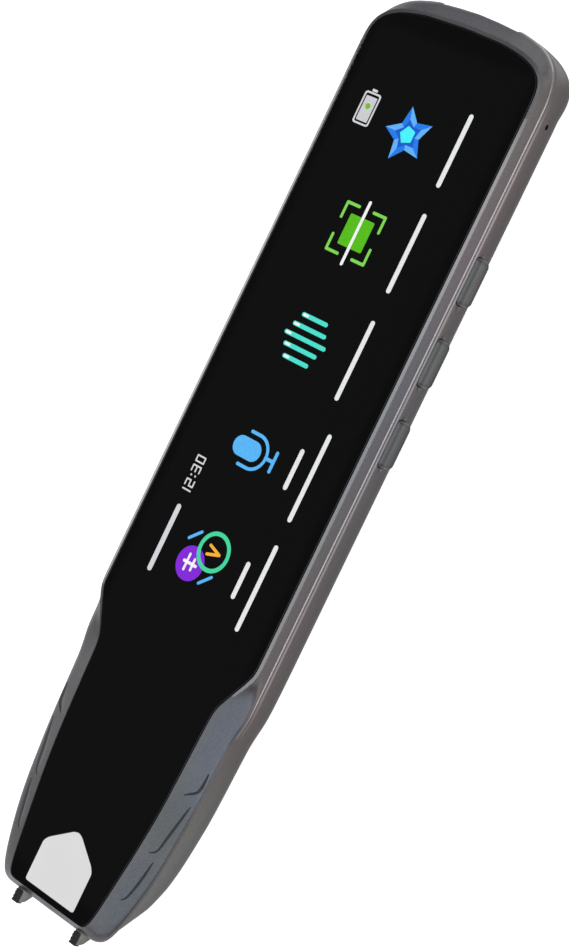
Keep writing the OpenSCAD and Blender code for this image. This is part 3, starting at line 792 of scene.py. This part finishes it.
# Hooked creases on the right flank of the tip: upper end, bend and hook end, in x and y.
CREASES = [
    [(16.76, -45.2), (16.7, -46.6), (16.6, -47.7), (16.42, -48.4), (16.05, -48.85), (15.45, -49.25), (14.75, -49.85)],
    [(16.38, -51.0), (15.92, -53.2), (15.52, -55.1), (15.12, -57.0), (14.86, -58.6), (14.6, -59.5), (14.1, -60.05), (13.6, -60.2)],
    [(14.78, -61.3), (14.32, -63.8), (13.68, -66.6), (13.22, -68.1), (12.9, -68.6), (12.5, -68.95)],
]


def spline(pts, n):
    p = np.array(pts, float)
    for _ in range(3):
        q = [p[0]]
        for a, b in zip(p[:-1], p[1:]):
            q += [a * 0.75 + b * 0.25, a * 0.25 + b * 0.75]
        q.append(p[-1])
        p = np.array(q)
    s = np.concatenate([[0], np.cumsum(np.linalg.norm(np.diff(p, axis=0), axis=1))])
    t = np.linspace(0, s[-1], n)
    return np.column_stack([np.interp(t, s, p[:, 0]), np.interp(t, s, p[:, 1])]), t / s[-1]


def crease_cutters(tree_, n=26, rows=7):
    """A shallow ramp that falls to each hooked line, and a fine V-shaped groove along the line."""
    ramps, grooves = [], []

    def surface(xy, mirror):
        # on the left the lines are wider and lie a little further in
        x = xy[0] if mirror > 0 else -(xy[0] - 0.25 - 0.012 * max(0.0, -50 - xy[1]))
        hit, nor, _, _ = tree_.ray_cast(Vector((x, xy[1], 20)), Vector((0, 0, -1)))
        nor = Vector(nor)
        return Vector(hit), (-nor if nor.z < 0 else nor)

    def slab(low, top):
        verts, faces = [], []
        r, m = len(low), len(low) * n
        for g in (low, top):
            for row in g:
                verts += [tuple(p) for p in row]
        for j in range(r - 1):
            for i in range(n - 1):
                a0 = j * n + i
                faces.append((a0, a0 + 1, a0 + n + 1, a0 + n))
                faces.append((m + a0, m + a0 + n, m + a0 + n + 1, m + a0 + 1))
        for i in range(n - 1):
            faces.append((i, m + i, m + i + 1, i + 1))
            a0 = (r - 1) * n + i
            faces.append((a0, a0 + 1, m + a0 + 1, m + a0))
        for j in range(r - 1):
            a0 = j * n
            faces.append((a0, a0 + n, m + a0 + n, m + a0))
            a0 = j * n + n - 1
            faces.append((a0, m + a0, m + a0 + n, a0 + n))
        return verts, faces

    for pts in CREASES:
        line, s = spline(pts, n)
        a, b = line[0], line[-1]
        side = np.array([-(b - a)[1], (b - a)[0]])
        side /= np.linalg.norm(side)
        chord = a + (b - a) * s[:, None]
        if ((line - chord) @ side)[n // 2] > 0:
            side = -side
        fade = chord + side * (0.7 * np.sin(math.pi * s))[:, None]
        swell = np.sin(math.pi * np.clip(s, 0, 1)) ** 0.7
        tan = np.gradient(line, axis=0)
        tan /= np.linalg.norm(tan, axis=1)[:, None]
        across = np.column_stack([-tan[:, 1], tan[:, 0]])
        for mirror in (1, -1):
            low, top = [], []
            for j in range(rows):
                w = j / (rows - 1)
                lo_, to_ = [], []
                for i in range(n):
                    h, nor = surface(fade[i] * (1 - w) + line[i] * w, mirror)
                    dip = 0.17 * swell[i] * w ** 1.4 - 0.004
                    lo_.append(h - nor * dip)
                    to_.append(h + nor * 0.5)
                low.append(lo_)
                top.append(to_)
            ramps.append(slab(low, top))
            low, top = [], []
            for w, deep in ((-1, 0.0), (-0.3, 1.0), (0.3, 1.0), (1, 0.0)):
                lo_, to_ = [], []
                for i in range(n):
                    half = (0.07 + 0.19 * swell[i]) * (1 if mirror > 0 else 1.6)
                    h, nor = surface(line[i] + across[i] * half * w, mirror)
                    lo_.append(h - nor * (deep * (0.08 + 0.2 * swell[i]) - 0.01 * (1 - deep)))
                    to_.append(h + nor * 0.5)
                low.append(lo_)
                top.append(to_)
            grooves.append(slab(low, top))
    return ramps, grooves


def build_frame():
    rows, bright = frame_rows()
    verts, faces = loft(rows, closed=True)
    ob = make("front_frame_skin", verts, faces, [M["frame"], M["rim"], M["inside"]])
    for f in ob.data.polygons:
        lo_, hi_ = min(f.vertices) // N, max(f.vertices) // N
        if hi_ - lo_ > 1 or lo_ in (0, 1, 2) or lo_ >= len(rows) - 3:
            f.material_index = 2
        # the rim band takes the lighter rim paint, a painted highlight
        elif lo_ in bright and -33 < f.center.y < 64:
            f.material_index = 1
    ref = Ref(ob)
    ramps, grooves = crease_cutters(ref.tree)
    boolean(ob, make("cut_ramps", *merged(ramps), [M["frame"]]))
    # the grooves take the dark crease paint, painted shade
    boolean(ob, make("cut_grooves", *merged(grooves), [M["crease"]]))
    boolean(ob, make("cut_step2", *prism(STEP, 9.2, 11.12), [M["frame"]]))
    slots = [prism(rounded_rect(s * 7.05 - 0.95, s * 7.05 + 0.95, -79, -72.9, 0.3), 9.0, 11.15) for s in (-1, 1)]
    boolean(ob, make("cut_slots", *merged(slots), [M["cut"]]))
    clean_normals(ob, {"frame_paint": ref, "rim_painted_highlight": ref})
    to_metres(ob)
    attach(ob, HOUSING)
    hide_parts("front_frame")
    return ob


# ------------------------------------------------------------------ cover glass and sight window
def build_glass():
    z0 = 11.5
    a, c, d = at_z(G, z0), at_z(G, TOP_Z), at_z(grow(G, -0.62), TOP_Z)
    rows = [a, *fillet(a, c, d, 0.12, 0.12, k=5, pad=0.03), d]
    ob = make("cover_glass_skin", *loft(rows), [M["glass"]])
    ref = Ref(ob)
    win = chaikin_corner(np.array(SIGHT, float)[::-1], 0.5, 6)
    boolean(ob, make("cut_sight", *prism(grow(win, 0.05), 11, 13), [M["glass"]]))
    clean_normals(ob, {"cover_glass_fine": ref})
    to_metres(ob)
    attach(ob, HOUSING)
    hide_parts("cover_glass")
    # window, flush with the glass and with its own softened edge
    a, c, d = at_z(win, z0), at_z(win, TOP_Z), at_z(grow(win, -0.22), TOP_Z)
    w = make("sight_window_skin", *loft([a, *fillet(a, c, d, 0.06, 0.06, k=3, pad=0.02), d]), [M["window"]])
    w.data.set_sharp_from_angle(angle=math.radians(50))
    to_metres(w)
    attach(w, HOUSING)
    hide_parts("sight_window")


# ------------------------------------------------------------------ picture on the screen
def ui_materials():
    return {
        "white": lit("ui_white", srgb(235, 235, 235)), "label": lit("ui_label", srgb(222, 222, 224)),
        "fill": lit("ui_fill", srgb(196, 197, 200)), "grey": lit("ui_grey", srgb(205, 205, 208)),
        "blue": lit("ui_blue", srgb(36, 118, 222)), "blue_dark": lit("ui_blue_dark", srgb(26, 88, 196)),
        "blue_light": lit("ui_blue_light", srgb(96, 170, 240)), "cyan": lit("ui_cyan", srgb(72, 232, 238)),
        "green": lit("ui_green", srgb(84, 180, 26)), "green_light": lit("ui_green_light", srgb(122, 204, 80)),
        "teal": lit("ui_teal", srgb(74, 214, 196)), "sky": lit("ui_sky", srgb(86, 174, 236)),
        "purple": lit("ui_purple", srgb(126, 40, 206)), "mint": lit("ui_mint", srgb(66, 205, 150)),
        "amber": lit("ui_amber", srgb(240, 170, 50)), "leaf": lit("ui_leaf", srgb(120, 178, 50)),
    }


UI_LOW, UI_TOP = TOP_Z + 0.001, TOP_Z + 0.03


def pill(x0, y0, x1, y1, w, n=8):
    """A rounded bar between two points, of width w."""
    a, b = np.array([x0, y0], float), np.array([x1, y1], float)
    d = b - a
    length = np.linalg.norm(d)
    base = math.atan2(d[1], d[0]) if length > 1e-6 else 0.0
    pts = []
    for c, start in ((b, -math.pi / 2), (a, math.pi / 2)):
        for t in np.linspace(start, start + math.pi, n):
            pts.append(c + w / 2 * np.array([math.cos(base + t), math.sin(base + t)]))
    return np.array(pts)


def disc(cx, cy, r, n=40):
    a = np.linspace(0, 2 * math.pi, n, endpoint=False)
    return np.column_stack([cx + r * np.cos(a), cy + r * np.sin(a)])


def ring_part(outer, inner, z0, z1):
    rows = [at_z(outer, z0), at_z(outer, z1), at_z(inner, z1), at_z(inner, z0)]
    return loft(rows, closed=True)


def arc_band(cx, cy, r, w, a0, a1, n=24):
    t = np.radians(np.linspace(a0, a1, n))
    o = np.column_stack([cx + (r + w / 2) * np.cos(t), cy + (r + w / 2) * np.sin(t)])
    i = np.column_stack([cx + (r - w / 2) * np.cos(t), cy + (r - w / 2) * np.sin(t)])
    return np.concatenate([o, i[::-1]])


DIGITS = {"0": "abcdef", "1": "bc", "2": "abged", "3": "abgcd", "4": "fgbc", "5": "afgcd", "6": "afgedc", "7": "abc",
          "8": "abcdefg", "9": "abcdfg"}


def digit(ch, u, v, w, h, t):
    """Plain seven-part numerals. u runs along the pen, v is up, towards -X."""
    seg = {"a": ((0, h), (w, h)), "b": ((w, h), (w, h / 2)), "c": ((w, h / 2), (w, 0)), "d": ((0, 0), (w, 0)),
           "e": ((0, 0), (0, h / 2)), "f": ((0, h / 2), (0, h)), "g": ((0, h / 2), (w, h / 2))}
    out = []
    for s in DIGITS[ch]:
        (a, b), (c, d) = seg[s]
        out.append(pill(-(v + b), u + a, -(v + d), u + c, t, 5))
    return out


def build_picture():
    ui = ui_materials()
    shapes = {k: [] for k in ui}

    def add(col, poly, lift=0.0):
        p = np.array(poly, float)
        shapes[col].append(loft([at_z(p, UI_LOW), at_z(p, UI_TOP - 0.012 + lift)]))

    # battery sign
    shapes["grey"].append(ring_part(np.array(rounded_rect(-12.5, -9.1, 53.9, 59.3, 0.5)),
                                    np.array(rounded_rect(-12.2, -9.4, 54.2, 59.0, 0.3)), UI_LOW, UI_TOP - 0.01))
    add("grey", rounded_rect(-11.35, -10.25, 59.42, 59.85, 0.15))
    add("fill", rounded_rect(-11.95, -9.65, 54.5, 58.6, 0.15))
    add("leaf", disc(-10.8, 57.0, 0.5, 20), 0.004)
    add("leaf", [(-11.6, 57.3), (-10.9, 57.25), (-10.8, 57.0), (-10.9, 56.7)], 0.004)
    # star: ten facets and a five-sided middle
    cx, cy = -1.2, 55.2
    ro, ri = 4.6, 2.4
    pts = []
    for k in range(10):
        a = math.radians(180 + 36 * k)
        r = ro if k % 2 == 0 else ri
        pts.append((cx + r * math.cos(a), cy + r * math.sin(a)))
    for k in range(10):
        a, b = pts[k], pts[(k + 1) % 10]
        add("blue" if k % 2 == 0 else "blue_light", [(cx, cy), a, b])
    for k in range(0, 10, 2):
        tip = np.array(pts[k])
        l, r = np.array(pts[k - 1]), np.array(pts[(k + 1) % 10])
        mid = np.array([cx, cy])
        add("blue_dark", [mid * 0.45 + tip * 0.55, mid * 0.35 + l * 0.65, mid, mid * 0.35 + r * 0.65], 0.002)
    add("cyan", [(cx + 1.5 * math.cos(math.radians(36 + 72 * k)), cy + 1.5 * math.sin(math.radians(36 + 72 * k))) for k in range(5)], 0.006)
    # scan frame: corner brackets, a filled patch and a line
    x0, x1, y0, y1 = -6.05, 2.05, 34.4, 42.3
    for x, sx in ((x0, 1), (x1, -1)):
        for y, sy in ((y0, 1), (y1, -1)):
            add("green_light", pill(x, y, x + sx * 2.5, y, 0.5))
            add("green_light", pill(x, y, x, y + sy * 2.5, 0.5), 0.002)
    add("green", rounded_rect(-4.5, 0.6, 35.8, 40.9, 0.25))
    add("white", pill(-1.95, 33.2, -1.95, 43.5, 0.55), 0.006)
    # sound bars
    for y, a, b in ((23.7, -4.3, 0.6), (21.9, -5.2, 1.3), (20.2, -6.0, 2.25), (18.5, -5.2, 1.3), (16.7, -4.3, 0.6)):
        add("teal", pill(a, y, b, y, 0.72))
        add("white", pill(a + 0.1, y, a + 0.9, y, 0.4), 0.004)
    # microphone
    add("sky", pill(-4.25, 1.25, -1.65, 1.25, 3.3, 16))
    add("sky", arc_band(-1.5, 1.25, 2.75, 0.55, -90, 90, 28))
    add("sky", pill(-3.4, 4.0, -1.5, 4.0, 0.55))
    add("sky", pill(-3.4, -1.5, -1.5, -1.5, 0.55))
    add("sky", pill(1.2, 1.25, 2.9, 1.25, 0.6), 0.002)
    add("sky", pill(2.95, -0.3, 2.95, 2.8, 0.6))
    # two discs that swap
    add("purple", disc(-3.3, -18.7, 2.83))
    add("white", pill(-4.6, -18.7, -2.0, -18.7, 0.5), 0.004)
    add("white", pill(-4.0, -20.0, -4.0, -17.4, 0.45), 0.004)
    add("white", pill(-2.7, -19.6, -2.7, -17.8, 0.45), 0.004)
    shapes["mint"].append(ring_part(disc(0.04, -15.36, 3.3, 48), disc(0.04, -15.36, 2.6, 48), UI_LOW, UI_TOP - 0.008))
    add("amber", pill(-1.1, -16.1, 1.3, -15.36, 0.5), 0.002)
    add("amber", pill(-1.1, -14.6, 1.3, -15.36, 0.5))
    add("sky", pill(-5.7, -15.3, -3.8, -13.5, 0.5))
    add("sky", pill(-0.1, -20.7, 1.8, -18.9, 0.5))
    # labels, as plain rounded bars
    for x, runs in ((8.5, [(49.6, 61.9)]), (8.65, [(32.0, 45.4)]), (8.65, [(14.0, 27.5)]),
                    (7.15, [(-1.7, 5.3)]), (10.65, [(-5.7, 9.2)]), (7.2, [(-20.2, -13.8)]), (10.65, [(-24.2, -9.5)])):
        for a, b in runs:
            add("label", pill(x, a + 0.5, x, b - 0.5, 0.85))
    # clock, and a bar for the date
    add("grey", pill(-10.3, -22.5, -10.3, -11.9, 0.95))
    u = -9.9
    for ch in "12:30":
        if ch == ":":
            for v in (9.95, 10.85):
                add("grey", disc(-v, u + 0.1, 0.17, 14))
            u += 0.75
        else:
            for k, poly in enumerate(digit(ch, u, 9.55, 0.95, 1.7, 0.26)):
                add("grey", poly, 0.001 * k)
            u += 1.65
    for k, parts in shapes.items():
        if not parts:
            continue
        ob = make("screen_" + k, *merged(parts), [ui[k]], smooth=False)
        to_metres(ob)
        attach(ob, HOUSING)


# ------------------------------------------------------------------ keys
def build_keys():
    for k, y in enumerate(KEYS_Y):
        rows = []
        # x, half length, lower and upper half height, corner radius
        for x, a, lo_, up, r in ((16.45, 3.95, 1.31, 1.28, 0.8), (18.1, 3.95, 1.31, 1.28, 0.8), (18.4, 3.94, 1.315, 1.28, 0.8),
                                 (18.5, 3.93, 1.315, 1.25, 0.8), (18.64, 3.91, 1.315, 1.16, 0.78), (18.78, 3.88, 1.315, 1.05, 0.74),
                                 (18.9, 3.84, 1.315, 0.92, 0.7), (19.0, 3.78, 1.315, 0.79, 0.64), (19.1, 3.7, 1.315, 0.62, 0.56),
                                 (19.18, 3.6, 1.312, 0.44, 0.5), (19.25, 3.46, 1.308, 0.22, 0.42), (19.3, 3.32, 1.3, 0.0, 0.36),
                                 (19.335, 3.18, 1.285, -0.24, 0.3), (19.35, 3.0, 1.255, -0.5, 0.22)):
            q = rounded_rect(y - a, y + a, KEY_Z - lo_, KEY_Z + up, r, 6)
            rows.append(np.array([(x, p[0], p[1]) for p in q]))
        cap = loft(rows)
        flange = loft([np.array([(x, a, b) for a, b in rounded_rect(y - 4.7, y + 4.7, KEY_Z - 1.55, KEY_Z + 1.55, 0.4)]) for x in (15.9, 16.5)])
        ob = make(f"key_{k + 1}_cap", *merged([cap, flange]), [M["key"]])
        ob.data.set_sharp_from_angle(angle=math.radians(40))
        to_metres(ob)
        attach(ob, f"key_{k + 1}")
        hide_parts(f"key_{k + 1}")


# ------------------------------------------------------------------ badge disc
def build_badge():
    prof = [(3.6, 0.8), (3.66, 0.74), (3.66, 0.2), (3.63, 0.1), (3.56, 0.04), (3.46, 0.012), (3.3, 0.004)]
    ob = make("badge_disc_skin", *turned(prof, (0, 45.9, 0), n=96), [M["badge"]])
    ob.data.set_sharp_from_angle(angle=math.radians(50))
    to_metres(ob)
    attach(ob, HOUSING)
    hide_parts("badge_disc")


# ------------------------------------------------------------------ small parts: the CAD shape with softened edges
def soften(node, body, mat, width=0.08, segments=2, angle=30):
    src = NODE[node]
    me = src.data.copy()
    me.name = node + "_soft"
    me.transform(Matrix.Scale(1000, 4))
    bm = bmesh.new()
    bm.from_mesh(me)
    bmesh.ops.remove_doubles(bm, verts=bm.verts, dist=1e-4)
    bmesh.ops.dissolve_limit(bm, angle_limit=math.radians(1.0), verts=bm.verts, edges=bm.edges)
    bm.to_mesh(me)
    bm.free()
    ob = bpy.data.objects.new(node + "_soft", me)
    bpy.context.scene.collection.objects.link(ob)
    b = ob.modifiers.new("edge", "BEVEL")
    b.width, b.segments, b.limit_method, b.angle_limit = width, segments, "ANGLE", math.radians(angle)
    b.use_clamp_overlap = True
    dg = bpy.context.evaluated_depsgraph_get()
    new = bpy.data.meshes.new_from_object(ob.evaluated_get(dg), depsgraph=dg)
    ob.modifiers.clear()
    ob.data = new
    bpy.data.meshes.remove(me)
    new.materials.clear()
    new.materials.append(mat)
    new.polygons.foreach_set("use_smooth", [True] * len(new.polygons))
    new.set_sharp_from_angle(angle=math.radians(28))
    to_metres(ob)
    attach(ob, body)
    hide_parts(node)
    return ob


build_rear()
build_frame()
build_glass()
build_picture()
build_keys()
build_badge()
soften("hinge_bar", HOUSING, M["tip_steel"], 0.1)
soften("trigger_yoke", "trigger", M["tip_steel"], 0.12, 3)
soften("tip_feet", "trigger", M["rubber"], 0.03, 2)

FINISH = {
    "glass_adhesive": "tape", "window_diffuser": "white_plastic", "display_module": "display", "display_flex": "flex",
    "chassis": "alloy", "main_pcb": "pcb", "shield_can": "steel", "battery": "foil", "battery_tape": "white_plastic",
    "speaker": "black_plastic", "speaker_gasket": "rubber", "speaker_mesh": "mesh", "usb_c_port": "port_steel",
    "microphone": "brass", "antenna": "flex", "camera_module": "black_plastic", "camera_flex": "flex",
    "led_board": "white_plastic", "scan_hood": "black_plastic", "key_board": "pcb", "key_switches": "steel",
    "case_screws": "steel", "trigger_axle": "steel", "trigger_switch": "black_plastic", "switch_plunger": "white_plastic",
    "return_pin": "steel", "return_spring": "steel",
}
for name, key in FINISH.items():
    ob = NODE[name]
    ob.data.materials.clear()
    ob.data.materials.append(M[key])

# ------------------------------------------------------------------ floor, light, camera
# light from below, for directions from -X to +X, from far along the pen, and from above
BELOW = [(0.62, 0.62, 0.60), (0.33, 0.34, 0.34), (0.25, 0.24, 0.235), (0.545, 0.55, 0.555), (0.83, 0.74, 0.71)]
ALONG = [(0.85, 0.88, 0.93), (0.89, 0.87, 0.84)]
ABOVE = [(0.096, 0.096, 0.096), (0.098, 0.096, 0.096)]
# name, place, what it faces, size, radiance, colour. The big panel overhead keeps to the key side,
# so that the glass mirrors the dark beside it; the strips light the rounded edges of the back.
LIGHTS = [
    ("panel_top", (0.42, 0.0, 0.9), (0.42, 0.0, 0.0), 1.55, 1.8, 0.97, (0.83, 0.925, 1.0)),
    ("panel_right", (1.25, 0.0, 0.35), (0.0, 0.0, 0.0), 0.9, 2.0, 0.56, (1.0, 0.98, 0.995)),
    ("panel_end", (0.0, 1.3, 0.5), (0.0, 0.0, 0.0), 1.4, 0.8, 0.86, (0.89, 0.91, 1.0)),
    ("panel_corner", (-0.75, 0.95, 0.55), (0.0, 0.0, 0.0), 0.6, 0.6, 0.62, (0.88, 0.9, 1.0)),
    ("panel_tip", (0.1, -1.3, 0.45), (0.0, 0.0, 0.0), 1.4, 0.8, 0.7, (1.0, 1.0, 1.0)),
    ("panel_left", (-1.3, -0.04, 0.18), (0.0, 0.0, 0.0), 0.4, 2.0, 1.22, (1.0, 1.0, 0.99)),
    ("strip_warm", (-0.8, 0.1, -0.44), (0.0, 0.0, 0.0), 0.09, 1.2, 4.0, (1.0, 0.94, 0.85)),
    ("strip_cool", (0.8, 0.1, -0.40), (0.0, 0.0, 0.0), 0.08, 1.2, 0.6, (0.85, 0.96, 1.0)),
]


def build_stage():
    s = 3.0
    me = bpy.data.meshes.new("floor")
    me.from_pydata([(-s, -s, -0.00015), (s, -s, -0.00015), (s, s, -0.00015), (-s, s, -0.00015)], [], [(0, 1, 2, 3)])
    floor = bpy.data.objects.new("floor", me)
    bpy.context.scene.collection.objects.link(floor)
    m = bpy.data.materials.new("floor_pale")
    m.use_nodes = True
    nt = m.node_tree
    nt.nodes.clear()
    out = nt.nodes.new("ShaderNodeOutputMaterial")
    b = nt.nodes.new("ShaderNodeBsdfPrincipled")
    clear = nt.nodes.new("ShaderNodeBsdfTransparent")
    sw = nt.nodes.new("ShaderNodeMixShader")
    geo = nt.nodes.new("ShaderNodeNewGeometry")
    nt.links.new(geo.outputs["Backfacing"], sw.inputs[0])
    nt.links.new(b.outputs[0], sw.inputs[1])
    nt.links.new(clear.outputs[0], sw.inputs[2])
    nt.links.new(sw.outputs[0], out.inputs["Surface"])
    b.inputs["Base Color"].default_value = (0.86, 0.86, 0.86, 1)
    b.inputs["Roughness"].default_value = 0.9
    b.inputs["Specular IOR Level"].default_value = 0.1
    b.inputs["Emission Color"].default_value = (1, 1, 1, 1)
    b.inputs["Emission Strength"].default_value = 0.85
    me.materials.append(m)
    floor.visible_glossy = False
    floor.visible_shadow = False
    floor.visible_diffuse = False

    world = bpy.data.worlds.new("studio")
    bpy.context.scene.world = world
    world.use_nodes = True
    nt = world.node_tree
    nt.nodes.clear()
    out = nt.nodes.new("ShaderNodeOutputWorld")
    seen, lightb, sw = nt.nodes.new("ShaderNodeBackground"), nt.nodes.new("ShaderNodeBackground"), nt.nodes.new("ShaderNodeMixShader")
    path = nt.nodes.new("ShaderNodeLightPath")
    co = nt.nodes.new("ShaderNodeTexCoord").outputs["Generated"]
    x, y, z = sep(nt, co)
    across = span(nt, x, 0.0, 1.0, -1.0, 1.0)
    below = ramp(nt, across, list(zip((0.05, 0.25, 0.5, 0.75, 0.95), BELOW)))
    along = ramp(nt, across, list(zip((0.3, 0.7), ALONG)))
    below = mix_rgba(nt, span(nt, maths(nt, "ABSOLUTE", y), 0.0, 1.0, 0.36, 0.62, True), below, along)
    above = ramp(nt, across, list(zip((0.1, 0.9), ABOVE)))
    nt.links.new(mix_rgba(nt, span(nt, z, 0.0, 1.0, -0.12, 0.1, True), below, above), lightb.inputs["Color"])
    seen.inputs["Color"].default_value = (1, 1, 1, 1)
    nt.links.new(path.outputs["Is Camera Ray"], sw.inputs[0])
    nt.links.new(lightb.outputs[0], sw.inputs[1])
    nt.links.new(seen.outputs[0], sw.inputs[2])
    nt.links.new(sw.outputs[0], out.inputs["Surface"])

    def area(name, at, look, sx, sy, radiance, colour):
        d = bpy.data.lights.new(name, "AREA")
        d.shape, d.size, d.size_y = "RECTANGLE", sx, sy
        d.energy = radiance * math.pi * sx * sy
        d.color = colour
        o = bpy.data.objects.new(name, d)
        o.location = at
        q = (Vector(look) - Vector(at)).to_track_quat("-Z", "Y")
        o.rotation_mode = "QUATERNION"
        o.rotation_quaternion = q
        bpy.context.scene.collection.objects.link(o)
        return o

    for name, at, look, sx, sy, radiance, colour in LIGHTS:
        area(name, at, look, sx, sy, radiance, colour)


def build_camera():
    d = bpy.data.cameras.new("camera")
    d.sensor_fit, d.sensor_width, d.lens = "AUTO", 36.0, 105.21
    d.clip_start, d.clip_end = 0.01, 20
    o = bpy.data.objects.new("camera", d)
    x, y, z = (0.68881, 0.43284, -0.58154), (-0.37438, 0.89933, 0.22593), (0.62079, 0.06209, 0.78152)
    r = Matrix((x, y, z)).transposed()
    o.matrix_world = Matrix.Translation((0.26808, 0.02683, 0.34247)) @ r.to_4x4()
    bpy.context.scene.collection.objects.link(o)
    bpy.context.scene.camera = o


build_stage()
build_camera()
vs = bpy.context.scene.view_settings
vs.view_transform, vs.look, vs.exposure, vs.gamma = "Standard", "None", 0.0, 1.0

bpy.context.view_layer.update()
